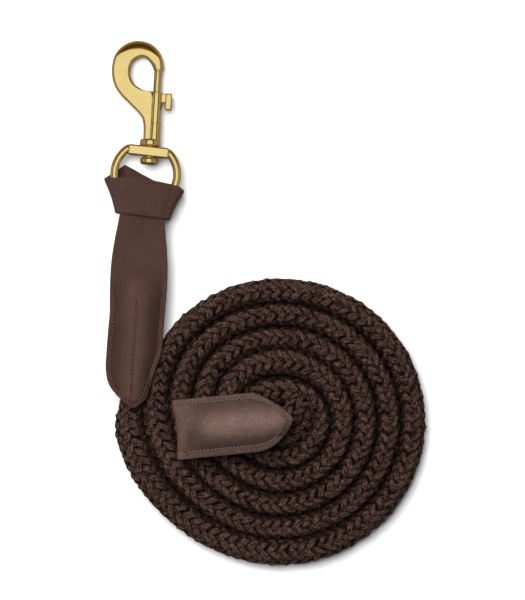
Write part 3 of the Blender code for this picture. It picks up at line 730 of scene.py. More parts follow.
def rope_path():
    """Centre line and size from the clip end's sleeve, down round the coil and up into the end cap.

    Also gives where the lead end's length stops and where the tail end starts.
    """
    lead = spline(lead_knots(), 24)
    reach = lengths(lead)
    radii = end_radii(reach, reach[-1], START_HALF_WIDTH)
    heights = end_radii(reach, reach[-1], ROPE_Z)
    lead = sized(lead, radii, heights)[::-1]

    angles = np.arange(COIL_START + 1, COIL_END, 1.0)
    opening = 1 - smooth(COIL_START, COIL_START + 30, angles)
    half = coil_half_width(angles)
    coil = sized(coil_line(angles), half + (START_HALF_WIDTH - half) * opening, ROPE_Z)

    arc = bend_line(np.arange(0.0, 180.0, 3.0))
    climb = smooth(60, 180, np.arange(0.0, 180.0, 3.0))
    bend = sized(arc, half[-1] + (BOUND_RADIUS - half[-1]) * climb,
                 ROPE_Z + (BOUND_RADIUS - ROPE_Z) * climb)

    tail = spline(tail_knots(), 10)
    reach = lengths(tail)
    radii = end_radii(reach, reach[-1], BOUND_RADIUS)
    tail = sized(tail, radii, radii)

    whole = np.vstack((lead, coil, bend, tail))
    lead_stop = lengths(lead)[-1] + LEAD_REACH
    tail_start = lengths(np.vstack((lead, coil)))[-1]
    return resample(whole, PATH_STEP), lead_stop, tail_start


def untwisted(points, side, up):
    """Angle of a direction carried along the rope without twist, measured from the side vector."""
    ahead = tangents(points)
    carried = np.empty_like(points)
    carried[0] = side[0]
    for k in range(1, len(points)):
        moved = carried[k - 1] - ahead[k] * (carried[k - 1] @ ahead[k])
        carried[k] = moved / np.linalg.norm(moved)
    angle = np.arctan2((carried * up).sum(1), (carried * side).sum(1))
    return np.unwrap(angle)


# ---------------------------------------------------------------- braid

def wander(random, count, size, every=22):
    """A slow, smooth, seeded drift along the rope."""
    knots = random.normal(0, size, count // every + 3)
    return np.interp(np.arange(count) / every, np.arange(len(knots)), knots)


def carrier_rings(path, twist, index, way, random):
    """Rings of one carrier: it winds round the rope and crimps over and under its neighbours."""
    points, wide, high = path[:, :3], path[:, 3], path[:, 4]
    _, side, up = path_frames(points)
    reach = np.arange(len(points)) * PATH_STEP
    shift = LOBE / 2 if way < 0 else 0.0
    turn = way * math.tau * reach / LAY + math.radians(LOBE * index + shift)
    turn = turn + way * CRIMP_LEAN / 4 * np.sin(4 * turn * way) + wander(random, len(points), 0.07, 12)
    over = way * np.cos(4 * turn)
    crimp = CRIMP * np.sin(math.pi / 2 * over) + wander(random, len(points), 0.22, 5)
    room = CRIMP + CARRIER_HALF_THICK
    angle = turn + twist + math.radians(BRAID_PHASE)
    c, s = np.cos(angle), np.sin(angle)
    half_x, half_z = wide - room, high - room
    out = unit(side * (c / half_x)[:, None] + up * (s / half_z)[:, None])
    centre = points + side * (half_x * c)[:, None] + up * (half_z * s)[:, None] + out * crimp[:, None]
    ahead = tangents(centre)
    rise = unit(out - ahead * (out * ahead).sum(1)[:, None])
    across = np.cross(ahead, rise)
    squeeze = (wide + high) / (ROPE_HALF_WIDTH + ROPE_Z)
    plump = (0.84 + 0.17 * over) * squeeze * (1 + wander(random, len(points), 0.11, 5))
    x = CARRIER_ACROSS[None, :, None] * (CARRIER_HALF_WIDTH * plump)[:, None, None]
    z = CARRIER_RISE[None, :, None] * (CARRIER_HALF_THICK * (1 + 0.1 * over))[:, None, None]
    frayed = np.stack([wander(random, len(points), 0.26, 2) for _ in CARRIER_ACROSS], axis=1)
    z = z + (frayed * (CARRIER_RISE > -0.2))[:, :, None]
    rings = centre[:, None, :] + x * across[:, None, :] + z * rise[:, None, :]
    rings[..., 2] = np.maximum(rings[..., 2], FLATTENED)
    # Painted shade: lighter where a carrier lies over its neighbours, darker where it dips under them, at its
    # edges and deep in the groove between turns.
    proud = 0.5 + 0.5 * np.clip(over * 1.3, -1, 1)
    shade = np.sqrt(proud)[:, None] * (0.25 + 0.75 * CARRIER_SHADE)[None, :]
    shade = shade * (1 - hidden_side(points, side * c[:, None], np.abs(s)))[:, None]
    return rings, shade, lengths(centre)


def hidden_side(points, sideways, upright):
    """How much shade is painted on a carrier deep in the groove between two turns; the coil's outer side is
    open.
    """
    outward = points * (1, 1, 0)
    distance = np.linalg.norm(outward, axis=1)
    facing_out = (sideways * outward).sum(1) > 0
    beside = smooth(8, 16, distance) * np.where(facing_out, 1 - smooth(70, 76, distance), 1.0)
    flat = 1 - smooth(1.5, 5.0, points[:, 2] - ROPE_Z)
    return beside * flat * (1 - smooth(0.2, 0.85, upright)) * 0.98


def add_strand_maps(obj, carriers, shades, runs):
    """Shade per point, and two UV maps: one in millimetres along each carrier, one laid out in strips."""
    mesh = obj.data
    shade = mesh.attributes.new("shade", "FLOAT", "POINT")
    shade.data.foreach_set("value", np.concatenate([s.ravel() for s in shades]).astype(np.float32))
    sides = len(CARRIER_ACROSS)
    strand, strips = [], []
    rows = 4 * len(carriers)
    for number, (rings, run) in enumerate(zip(carriers, runs)):
        count = len(rings) - 1
        i = np.arange(count)[:, None]
        j = np.arange(sides)[None, :]
        per_row = math.ceil(count / 4)
        row = 4 * number + i // per_row
        along_strand, in_strip = [], []
        for di, dj in ((0, 0), (0, 1), (1, 1), (1, 0)):
            across = (j + dj) / sides + 0 * i
            along_strand.append(np.stack((across, run[i + di] + 0 * j), axis=-1))
            in_strip.append(np.stack(((i % per_row + di) / per_row + 0 * j,
                                      (row + 0.06 + 0.88 * across) / rows), axis=-1))
        strand.append(np.stack(along_strand, axis=2).reshape(-1, 2))
        strips.append(np.stack(in_strip, axis=2).reshape(-1, 2))
    ends = np.zeros((2 * len(carriers) * sides, 2))
    for name, blocks in (("OFBake", strips), ("strand", strand)):
        layer = mesh.uv_layers.new(name=name)
        layer.data.foreach_set("uv", np.concatenate(blocks + [ends]).astype(np.float32).ravel())


def rope_pieces(yarn, core):
    """The rope in three lengths: the coil, the lead end and the tail end."""
    path, lead_stop, tail_start = rope_path()
    _, side, up = path_frames(path[:, :3])
    twist = untwisted(path[:, :3], side, up)
    stops = [0, round(lead_stop / PATH_STEP), round(tail_start / PATH_STEP), len(path) - 1]
    random = np.random.default_rng(7)
    made = []
    for way in (1, -1):
        for index in range(CARRIERS):
            made.append(carrier_rings(path, twist, index, way, random))
    pieces = {}
    for section, first, last in (("lead", stops[0], stops[1]), ("coil", stops[1], stops[2]),
                                 ("tail", stops[2], stops[3])):
        share = 4 if section == "coil" else 16
        for group in range(16 // share):
            chosen = made[group * share:(group + 1) * share]
            carriers = [m[0][first:last + 1] for m in chosen]
            name = f"rope_{section}_carriers_{group + 1}"
            obj = tubes_piece(name, carriers, [yarn])
            add_strand_maps(obj, carriers, [m[1][first:last + 1] for m in chosen],
                            [m[2][first:last + 1] for m in chosen])
            pieces.setdefault(section, []).append(obj)
        pieces[section].append(core_piece(section, path[first:last + 1], core))
    return pieces


def core_piece(section, path, core):
    """The core yarns' round bundle inside the braid."""
    points = path[::3, :3] if len(path) % 3 == 1 else np.vstack((path[::3, :3], path[-1:, :3]))
    return tubes_piece(f"rope_{section}_core", [wire(points, 4.0, 10)], [core])


def rope(yarn, core):
    pieces = rope_pieces(yarn, core)
    for number, obj in enumerate(pieces["coil"]):
        is_core = number == len(pieces["coil"]) - 1
        ridden(obj, "coil", "rope_core" if is_core else "rope", "rope_coil_core" if is_core else "rope_coil")
    lead_from, lead_to = world((-90, -26, 8)), world((-90, 6, 8))
    tail_from, tail_to = world((12, -3, 15)), world((3, 1.4, 25))
    for section, body, start, end in (("lead", "lead_end", lead_from, lead_to),
                                      ("tail", "tail_end", tail_from, tail_to)):
        for obj, slot, node in zip(pieces[section], ("rope", "rope_core"), ("", "_core")):
            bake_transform(obj)
            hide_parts(f"rope_{section}{node}")


# ---------------------------------------------------------------- clip end leather

# Y, left edge and right edge of the strap, from its pointed tip to the fold round the ring
STRAP_EDGES = np.array([
    (8.0, -91.4, -90.2), (10.5, -94.0, -86.2), (15.0, -98.9, -81.7), (20.0, -103.5, -80.1),
    (25.5, -106.0, -78.6), (33.0, -107.0, -75.9), (43.0, -106.5, -72.6), (55.0, -105.6, -71.6),
    (66.4, -104.6, -70.7), (77.0, -104.5, -69.8), (87.0, -104.3, -69.2), (99.0, -103.5, -69.2),
    (112.0, -101.5, -70.1), (122.0, -99.5, -70.9), (127.5, -98.3, -71.3), (130.5, -97.6, -71.6),
    (RING_FOOT_Y, -92.0, -73.6),
])
STRAP_UNDER_TIP = 30.0
EDGE_SEAM_TOP = 78.0
MIDDLE_SEAM_TOP = 72.0
STRAP_OUTLINE = spline(STRAP_EDGES, 8)
MIDDLE_SEAM = np.array([(-87.8, MIDDLE_SEAM_TOP), (-88.6, 58.0), (-89.7, 42.0), (-91.1, 21.0), (-91.2, 8.0)])


def strap_width(y):
    left = np.interp(y, STRAP_OUTLINE[:, 0], STRAP_OUTLINE[:, 1])
    right = np.interp(y, STRAP_OUTLINE[:, 0], STRAP_OUTLINE[:, 2])
    return (left + right) / 2, (right - left) / 2


LEAD_LINE = spline(lead_knots(), 8)


def rope_offset(y):
    """Height of the rope's centre above the strap's middle plane."""
    height = np.interp(y, LEAD_LINE[:, 1], LEAD_LINE[:, 2])
    return height - (PITCH_Z - (y - PITCH_Y) * math.tan(PITCH))


def pillow(across, reach):
    """Soft dome, 1 over the rope and 0 at the seam."""
    return np.clip(1 - (across / reach) ** 2, 0, 1) ** 1.15


def strap_height(y, x, side):
    """Middle of the upper (side 1) or lower (side -1) layer, measured from the middle plane."""
    rope_x = np.interp(y, LEAD_LINE[:, 1], LEAD_LINE[:, 0])
    across = x - rope_x
    centre, half = strap_width(y)
    seam = half - SEAM_INSET - 0.3
    reach = np.where(across > 0, centre + seam - rope_x, rope_x - centre + seam)
    reach = np.maximum(reach, NARROWEST_DOME)
    full = 1 - smooth(70, 102, y)
    offset = rope_offset(np.minimum(y, 74.0)) * full
    steepness = np.hypot(1, rope_offset(y + 1) - rope_offset(y - 1))
    crown = offset + side * (FIN + (CROWN * steepness - FIN) * full)
    opening = smooth(118, RING_FOOT_Y, y)
    fin = 0.25 * offset + side * FIN
    ring_gap = side * (WIRE_RADIUS + GAP + STRAP_THICK / 2)
    height = fin + (crown - fin) * pillow(across, reach)
    return height + (ring_gap - height) * opening


def strap_slope(y):
    """How much longer the strap's side edge is than the length it covers."""
    return np.hypot(1, (strap_width(y + 1)[1] - strap_width(y - 1)[1]) / 2)


def outline_inset(x, y):
    """Distance in from the strap's side edges, measured square to them."""
    centre, half = strap_width(y)
    return (half - np.abs(x - centre)) / strap_slope(y)


def from_seams(x, y):
    """Distance in from the outline, and to the right of the middle seam."""
    return outline_inset(x, y), x - np.interp(y, MIDDLE_SEAM[::-1, 1], MIDDLE_SEAM[::-1, 0])


def strap_dents(x, y):
    """Seam grooves and the valley between them on the strap's outer face."""
    inset, aside = from_seams(x, y)
    sewn = 1 - smooth(EDGE_SEAM_TOP, EDGE_SEAM_TOP + 4, y)
    edge_groove = 0.42 * bump(inset - SEAM_INSET, 0.5) * sewn
    field = 0.22 * smooth(SEAM_INSET - 0.2, SEAM_INSET + 0.9, inset) * sewn
    running = smooth(8, 20, y) * (1 - smooth(MIDDLE_SEAM_TOP, MIDDLE_SEAM_TOP + 8, y))
    middle = (0.45 * bump(aside, 0.55) + 0.35 * bump(aside, 2.4)) * running
    return edge_groove + field + middle


def strap_grooves(x, y):
    """How much shade is painted into the seam grooves."""
    inset, aside = from_seams(x, y)
    edge = bump(inset - SEAM_INSET, 0.42) * (1 - smooth(EDGE_SEAM_TOP, EDGE_SEAM_TOP + 2, y))
    run_out = 0.4 + 0.6 * smooth(14, 22, y)
    middle = bump(aside, 0.42) * (1 - smooth(MIDDLE_SEAM_TOP, MIDDLE_SEAM_TOP + 2, y)) * run_out
    return np.maximum(edge, middle)


def strap_crown(x, y):
    """Painted highlight where the upper layer is stretched over the rope, and painted shade in the hollows
    beside it.
    """
    across = x - np.interp(y, LEAD_LINE[:, 1], LEAD_LINE[:, 0])
    inside = smooth(SEAM_INSET - 0.3, SEAM_INSET + 0.3, outline_inset(x, y)) * (1 - smooth(74, 94, y))
    return FLAT_CROWN + (pillow(across, 10.0) - FLAT_CROWN) * inside


def strap_rows(ys, side, columns):
    centre, half = strap_width(ys)
    x = centre[:, None] + half[:, None] * columns[None, :]
    y = np.broadcast_to(ys[:, None], x.shape)
    return np.stack((x, y, strap_height(y, x, side)), axis=-1)


def clip_strap(leather, edge):
    """Up the upper layer, round the ring's foot and back down the shorter lower layer."""
    columns = np.linspace(-1, 1, SHEET_COLUMNS)
    ys = np.concatenate((np.arange(8.0, 30.0, 0.5), np.arange(30.0, RING_FOOT_Y, 0.9)))
    upper = strap_rows(ys, 1, columns)
    lower = strap_rows(ys[ys > STRAP_UNDER_TIP][::-1], -1, columns)
    centre, half = strap_width(RING_FOOT_Y)
    radius = WIRE_RADIUS + GAP + STRAP_THICK / 2
    angle = np.linspace(0, math.pi, 14)[:, None] + 0 * columns[None, :]
    fold = np.stack((centre + half * columns[None, :] + 0 * angle, RING_FOOT_Y + radius * np.sin(angle),
                     radius * np.cos(angle)), axis=-1)
    rows = np.concatenate((upper, fold, lower))
    obj = leather_sheet("clip_strap_leather", pitched(rows), STRAP_THICK, [leather, edge],
                        on_upper(strap_dents, upper, rows), on_upper(strap_grooves, upper, rows),
                        on_upper(strap_crown, upper, rows, FLAT_CROWN))
    return ridden(obj, "lead_end", "leather", "clip_strap")


def edge_seam_line():
    """Down the left edge, round the pointed tip and up the right edge."""
    ys = np.concatenate((np.arange(EDGE_SEAM_TOP, 22.0, -1.5), np.arange(22.0, 12.6, -0.5)))
    centre, half = strap_width(ys)
    reach = np.maximum(half - SEAM_INSET * strap_slope(ys), 0.0)
    keep = reach > 0.35
    left = np.column_stack((centre - reach, ys))[keep]
    right = np.column_stack((centre + reach, ys))[keep]
    return np.vstack((left, right[::-1]))


def clip_seams(thread):
    for name, line, node in (("clip_edge_stitches", edge_seam_line(), "clip_edge_seam"),
                             ("clip_middle_stitches", MIDDLE_SEAM[:4], "clip_middle_seam")):
        path, lift = seam_path(line, lambda x, y: strap_height(y, x, 1), strap_dents)
        obj = tubes_piece(name, stitches(pitched(path), pitched(lift) - pitched(np.zeros(3))), [thread])
        ridden(obj, "lead_end", "thread", node)


# Top edge of the collar's front and of its back, as X and Y
COLLAR_FRONT = np.array([(-108.4, 149.2), (-88.0, 149.5), (-82.5, 148.5), (-67.5, 145.3), (-61.8, 143.9),
                         (-58.6, 141.2)])
COLLAR_BACK = np.array([(-108.4, 149.2), (-104.6, 152.2), (-95.6, 158.2), (-77.5, 148.6), (-58.6, 141.2)])
# Middle X, half width and half depth of the loop at its lower edge and at its mouth
COLLAR_FOOT = (-84.5, 16.0, 5.6)
COLLAR_MOUTH = (-83.5, 24.1, 8.3)
COLLAR_LEFT = (-101.3, 128.2)    # left end of the lower edge, which falls to the right
COLLAR_SLOPE = 0.131
COLLAR_SEAM_ANGLE = 266.2


def collar_loop(angle, shape):
    """A squarish flat loop: angle 0 at the left, 90 at the front, 180 at the right, 270 at the back."""
    centre, half, depth = shape
    c, s = np.cos(angle), np.sin(angle)
    squash = (np.abs(c) ** 3 + np.abs(s) ** 3) ** (-1 / 3)
    return centre - half * squash * c, depth * squash * s


def collar_edges(angle):
    """The collar's lower edge and its flared mouth; past 274 degrees it lies over its own start."""
    lapped = (COLLAR_THICK + GAP) * smooth(274, 290, np.degrees(angle))
    foot_x, foot_z = collar_loop(angle, COLLAR_FOOT)
    foot_y = COLLAR_LEFT[1] - COLLAR_SLOPE * (foot_x - COLLAR_LEFT[0])
    top_x, top_z = collar_loop(angle, COLLAR_MOUTH)
    front = np.interp(top_x, COLLAR_FRONT[:, 0], COLLAR_FRONT[:, 1])
    back = np.interp(top_x, COLLAR_BACK[:, 0], COLLAR_BACK[:, 1])
    top_y = np.where(np.sin(angle) >= 0, front, back)
    return (np.stack((foot_x, foot_y, foot_z + lapped), axis=-1),
            np.stack((top_x, top_y, top_z + lapped), axis=-1))


def clip_collar(leather, edge):
    """A strip wound from its cut end at the back, round the right side and the front to the left."""
    angle = np.radians(np.linspace(300.0, -72.0, 210))
    foot, top = (points[:, None, :] for points in collar_edges(angle))
    t = np.linspace(0, 1, 44)[None, :, None]
    rows = foot + (top - foot) * t
    flare = 0.9 * np.sin(math.pi * t[..., 0]) * np.abs(np.cos(angle))[:, None]
    rows[..., 0] += flare * np.sign(np.cos(angle))[:, None]
    facing = np.clip(np.sin(angle), 0, 1)[:, None] ** 0.5
    crease = -72.0 + 6.5 * t[..., 0]
    rows[..., 2] -= 0.6 * bump(rows[..., 0] - crease, 1.6) * facing
    rows[..., 2] += 0.25 * bump(rows[..., 0] - crease - 4.0, 2.4) * facing
    obj = leather_sheet("clip_collar_leather", pitched(rows), COLLAR_THICK, [leather, edge])
    return ridden(obj, "lead_end", "leather", "clip_collar")


def collar_seam(thread):
    """A short seam up the back wall, where the wound strip is sewn to the layer it laps."""
    foot, top = collar_edges(np.radians([COLLAR_SEAM_ANGLE]))
    lift = np.array((0.0, 0.0, -1.0))
    t = np.linspace(0.08, 0.9, 40)[:, None]
    path = pitched(foot + (top - foot) * t + lift * (COLLAR_THICK / 2 + 0.1))
    down = np.broadcast_to(pitched(lift) - pitched(np.zeros(3)), path.shape)
    obj = tubes_piece("collar_stitches", stitches(path, down), [thread])
    ridden(obj, "lead_end", "thread", "collar_seam")


# ---------------------------------------------------------------- end cap

CAP_UNDER_TIP = 58.0
CAP_FOLD_END = 7.5              # where the fold's curve meets the flat leather


def cap_half_width(x, across=1.0):
    """Parallel from the fold to the shoulder, then in to the point, less round on the upper side."""
    t = np.clip((x - CAP_SHOULDER) / (CAP_LENGTH - CAP_SHOULDER), 0, 1)
    return CAP_HALF * (1 - t ** np.where(np.asarray(across) > 0, *CAP_ROUNDNESS))


def cap_slope(x, across):
    return np.hypot(1, cap_half_width(x + 0.5, across) - cap_half_width(x - 0.5, across))


def cap_past_seam(x, across):
    """Distance inward from the seam line, negative on the rim outside it."""
    inset = (cap_half_width(x, across) - np.abs(across)) / cap_slope(x, across)
    return inset - np.where(across > 0, *CAP_INSET)


TAIL_LINE = np.vstack((bend_line(np.arange(100.0, 180.0, 5.0)), spline(tail_knots(), 8)))
TAIL_REACH = np.linalg.norm((TAIL_LINE - CAP_FOLD)[:, :2], axis=1)[::-1]
TAIL_HEIGHT = (TAIL_LINE[:, 2] - CAP_FOLD[2])[::-1]


def cap_rope_offset(x):
    return np.interp(x, TAIL_REACH, TAIL_HEIGHT)


def cap_height(x, across, side):
    """Height of the leather's middle: a pillow over the rope that sinks to the seams and to the fold."""
    offset = cap_rope_offset(x)
    steepness = np.hypot(1, cap_rope_offset(x + 1) - cap_rope_offset(x - 1))
    crown = offset + side * CROWN * steepness * (0.5 + 0.5 * smooth(4, 17, x))
    fin = 0.25 * offset + side * FIN
    room = cap_half_width(x, across) - np.where(across > 0, *CAP_INSET) - 0.3
    reach = (room + NARROWEST_DOME + np.hypot(room - NARROWEST_DOME, 1.2)) / 2
    return fin + (crown - fin) * pillow(across, reach)


def cap_dents(x, across):
    """Seam groove and the sunk field inside it on the cap's outer face."""
    past = cap_past_seam(x, across)
    sewn = smooth(1.0, 4.0, x)
    return (0.45 * bump(past, 0.5) + 0.16 * smooth(-0.2, 0.9, past)) * sewn


def cap_grooves(x, across):
    """How much shade is painted into the seam groove."""
    return bump(cap_past_seam(x, across), 0.55) * smooth(3.0, 6.0, x)


def cap_crown(x, across):
    """Painted highlight where the cap is stretched over the rope, painted shade in the hollows beside it and
    behind the fold, and a darker painted rim on the lower side.
    """
    hump = bump(across - 0.8, 8.5) * smooth(6, 26, x) * (1 - 0.5 * smooth(60, 70, x))
    inside = smooth(-0.3, 0.3, cap_past_seam(x, across)) * smooth(6, 20, x)
    # The lower rim is painted darker, as painted shade on the lower side.
    rim = FLAT_CROWN - 0.22 * (across < 0)
    return rim + (hump - rim) * inside


def end_cap(leather, edge):
    columns = np.linspace(-1, 1, SHEET_COLUMNS)
    upper_x = np.concatenate((np.linspace(CAP_LENGTH - 0.6, CAP_SHOULDER, 54, endpoint=False),
                              np.linspace(CAP_SHOULDER, CAP_FOLD_END, 46)))

    def rows(xs, outline_x, side):
        across = cap_half_width(outline_x[:, None], columns[None, :]) * columns[None, :]
        x = np.broadcast_to(xs[:, None], across.shape)
        return np.stack((x, across, cap_height(x, across, side)), axis=-1)

    upper = rows(upper_x, upper_x, 1)
    lower = rows(upper_x[::-1] * CAP_UNDER_TIP / CAP_LENGTH, upper_x[::-1], -1)
    lower = lower[lower[:, 0, 0] > CAP_FOLD_END]
    angle = np.linspace(0, math.pi, 26)[1:-1, None]
    across = CAP_HALF * columns[None, :] + 0 * angle
    radius = cap_height(np.full_like(across, CAP_FOLD_END), across, 1)
    scoop = 1.4 * (1 - columns[None, :] ** 2)
    fold = np.stack((scoop + radius * (1 - np.sin(angle)), across, radius * np.cos(angle)), axis=-1)
    grid = np.concatenate((upper, fold, lower))
    obj = leather_sheet("end_cap_leather", in_cap(grid), STRAP_THICK, [leather, edge],
                        on_upper(cap_dents, upper, grid), on_upper(cap_grooves, upper, grid),
                        on_upper(cap_crown, upper, grid, FLAT_CROWN))
    return ridden(obj, "tail_end", "leather", "end_cap")


def cap_seam(thread):
    xs = np.concatenate((np.arange(6.0, CAP_SHOULDER, 2.0), np.arange(CAP_SHOULDER, CAP_LENGTH - 3, 0.5)))
    edges = []
    for sign, inset in zip((1, -1), CAP_INSET):
        across = cap_half_width(xs, sign) - inset * cap_slope(xs, sign)
        edges.append(np.column_stack((xs, sign * across))[across > 0.3])
    line = np.vstack((edges[0], edges[1][::-1]))
    path, lift = seam_path(line, lambda x, across: cap_height(x, across, 1), cap_dents)
    obj = tubes_piece("end_cap_stitches", stitches(in_cap(path), turned(lift, CAP_TURN)), [thread])
    ridden(obj, "tail_end", "thread", "end_cap_seam")


# ---------------------------------------------------------------- swivel ring and snap

def swivel_ring(brass):
    """A round eye with a flat foot for the strap, and the flat bar that holds the swivel."""
    foot_angle = math.asin((RING_CENTRE[1] - RING_FOOT_Y) / RING_RADIUS)
    steps = 50
    right = np.linspace(-foot_angle, math.radians(41.5), steps)
    left = np.linspace(math.radians(124.5), math.pi + foot_angle, steps)
    angle = np.concatenate((right, left))
    eye = RING_CENTRE + RING_RADIUS * np.stack((np.cos(angle), np.sin(angle), 0 * angle), axis=1)
    foot = np.linspace(eye[-1], eye[0], 14)[1:-1]
    top = np.linspace(eye[steps - 1], eye[steps], 12)[1:-1]
    closed = np.vstack((eye[:steps], top, eye[steps:], foot))
    half = np.array(BAR_SIZE) / 2
    bar = turned(rounded_bar(-half, half, 1.0), BAR_TILT) + BAR_CENTRE
    obj = tubes_piece("swivel_ring_brass", [pitched(wire(closed, WIRE_RADIUS, 20, True))], [brass], loop=True)
    bar_obj = tubes_piece("swivel_bar_brass", [pitched(bar)], [brass])
    ridden(obj, "ring", "brass", "swivel_ring")
    ridden(bar_obj, "ring", "brass", "swivel_ring")


# X and Y of matching points on the hook's outer and inner edges, from the neck round the crown to the tip
HOOK_PAIRS = np.array([
    (-4.3, 1.8, 0.2, 1.8), (-4.4, 6.0, 0.2, 6.0), (-4.6, 10.5, 0.2, 10.5), (-5.6, 14.9, 0.2, 14.9),
    (-8.3, 18.5, 0.2, 19.0), (-12.6, 22.3, 0.2, 24.5), (-15.6, 25.0, 0.1, 28.4), (-18.6, 27.6, -0.9, 31.9),
    (-20.6, 29.8, -4.9, 32.3), (-22.5, 32.2, -8.6, 33.7), (-23.9, 34.6, -11.3, 35.6),
    (-25.1, 37.6, -13.3, 38.3), (-25.9, 41.6, -14.5, 41.7), (-26.1, 46.4, -14.6, 46.0),
    (-25.2, 51.8, -13.4, 49.4), (-23.0, 56.2, -11.4, 51.5), (-19.3, 59.8, -9.6, 52.4),
    (-14.8, 62.1, -8.3, 52.8), (-9.9, 62.8, -6.9, 52.8), (-4.8, 62.0, -5.6, 52.3), (-0.4, 59.6, -4.2, 51.3),
    (2.8, 56.2, -2.7, 49.7), (4.8, 52.2, -1.4, 47.8), (5.6, 48.2, -0.8, 46.4), (5.7, TIP_Y, -0.5, TIP_Y),
])


def hook_casting():
    """Rings across the hook: a flat face with rounded edges, thinning to the crown, ridged at the tip."""
    steps = 5
    pairs = spline(HOOK_PAIRS, steps)
    outer, inner = pairs[:, :2], pairs[:, 2:]
    width = np.linalg.norm(inner - outer, axis=1)
    t = (1 - np.cos(np.linspace(0, math.pi, 25))) / 2
    xy = outer[:, None, :] + (inner - outer)[:, None, :] * t[None, :, None]
    station = np.arange(len(pairs))[:, None] / steps
    outer_edge = t[None, :] * width[:, None] / np.minimum(1.7, width / 2)[:, None]
    inner_round = 0.35 + 1.35 * smooth(6.0, 9.0, station)
    inner_edge = (1 - t[None, :]) * width[:, None] / np.minimum(inner_round, width[:, None] / 2)
    edge = np.clip(1 - np.minimum(outer_edge, inner_edge), 0, 1)
    flat = np.sqrt(np.clip(1 - edge ** 2.2, 0, 1))
    roof = 1 - 0.3 * np.abs(2 * t[None, :] - 1) ** 1.6
    tip = smooth(18.6, 22.5, station)
    shoulder = 57.4 - 5.4 * ((xy[..., 0] + 9.9) / 14) ** 2
    slope = np.clip(xy[..., 1] - shoulder, 0, None)
    crown = 1 - 0.062 * slope - 0.006 * slope ** 2
    height = HOOK_HALF_THICK * crown * flat * (1 + (roof - 1) * tip)
    top = np.concatenate((xy, height[..., None]), axis=-1)
    bottom = np.concatenate((xy, -height[..., None]), axis=-1)[:, -2:0:-1]
    return np.concatenate((top, bottom), axis=1)


def along_barrel(rings):
    return in_snap(rings + np.array((BARREL_X, 0.0, 0.0)))


def slotted_barrel():
    """The barrel's wall as a C, open to the right for the thumb lever's stub."""
    gap = math.radians(26.0)
    ease = 0.02
    angle = np.concatenate(([gap], np.linspace(gap + ease, math.tau - gap - ease, 42), [math.tau - gap]))
    outline = np.concatenate((
        np.stack((BARREL_RADIUS * np.cos(angle), BARREL_RADIUS * np.sin(angle)), axis=1),
        np.stack((BOLT_BORE * np.cos(angle[::-1]), BOLT_BORE * np.sin(angle[::-1])), axis=1)))
    heights = np.array((12.9, 13.0, 22.0, BARREL_TOP - 0.5, BARREL_TOP - 0.15, BARREL_TOP))
    grow = np.array((1.0, 1.0, 1.0, 1.0, 0.985, 0.94))
    rings = []
    for y, k in zip(heights, grow):
        scale = np.where(np.arange(len(outline)) < len(angle), k, 1.0)[:, None]
        shape = outline * scale
        rings.append(np.stack((shape[:, 0], np.full(len(shape), y), shape[:, 1]), axis=1))
    return np.stack(rings)


def hook(brass):
    casting = in_snap(hook_casting())
    tubes = [along_barrel(lathe(rounded_profile(*BARREL_BASE))), in_snap(lathe(rounded_profile(*FLANGE))),
             along_barrel(slotted_barrel())]
    obj = tubes_piece("hook_casting", [casting], [brass])
    ridden(obj, "snap", "brass", "hook_body")
    obj = tubes_piece("hook_barrel", tubes, [brass])
    ridden(obj, "snap", "brass", "hook_body")


def rivet(brass):
    tubes = [in_snap(lathe(rounded_profile(*shape))) for shape in (RIVET_SHAFT, RIVET_HEAD)]
    obj = tubes_piece("swivel_rivet_brass", tubes, [brass])
    ridden(obj, "snap", "brass", "swivel_rivet")


def bolt(brass):
    rod = rounded_profile(BOLT_RADIUS, BOLT_FOOT, TIP_Y + 2.0, 0.4)
    obj = tubes_piece("snap_bolt_brass", [along_barrel(lathe(rod))], [brass])
    ridden(obj, "bolt", "brass", "snap_bolt")
    tubes = [in_snap(rounded_bar(*box)) for box in (LEVER_PLATE, LEVER_STUB)]
    obj = tubes_piece("thumb_lever_brass", tubes, [brass])
    ridden(obj, "bolt", "brass", "thumb_lever")


def spring(steel):
    angle = np.linspace(0, math.tau * SPRING_TURNS, SPRING_TURNS * 24)
    rise = 6.7 + (BOLT_FOOT - 7.4) * angle / angle[-1]
    line = np.stack((BARREL_X + SPRING_RADIUS * np.cos(angle), rise, SPRING_RADIUS * np.sin(angle)), axis=1)
    ahead = tangents(line)
    out = unit(line - np.stack((0 * rise + BARREL_X, rise, 0 * rise), axis=1))
    rings = ring_of(line, np.cross(ahead, out), out, circle(SPRING_WIRE, 8))
    obj = tubes_piece("bolt_spring_wire", [in_snap(rings)], [steel])
    ridden(obj, "snap", "spring_steel", "bolt_spring")
    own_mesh(obj)


# ---------------------------------------------------------------- stage

CAMERA_HEIGHT = 4.0
FRAME_HEIGHT = 0.369            # metres of the table seen from top to bottom
FRAME_CENTRE = (-10.8, 74.4)
AMBIENT = 0.14
LAMP_PLACE = (-0.6, 0.75, 2.3)
LAMP_SIZE = 1.9
LAMP_POWER = 112.0
WARM_DARK = (0.6, 0.42, 0.22)
# Brightness of the ceiling by how far up, and of the walls by how far towards the snap, a ray goes
CEILING = [(0.0, 0.35), (0.3, 0.3), (0.5, 0.5), (0.66, 0.08), (0.8, 0.12), (0.89, 1.0)]
FAR_WALL = [(0.0, 1.0), (0.3, 1.0), (0.44, WARM_DARK), (1.0, WARM_DARK)]


def stage():
    size = 3.0
    corners = np.array([(-size, -size, 0), (size, -size, 0), (size, size, 0), (-size, size, 0)]) / MM
    floor = mesh_piece("floor", corners + FOOTPRINT_CENTRE, np.array([(0, 1, 2, 3)]), [floor_look()])


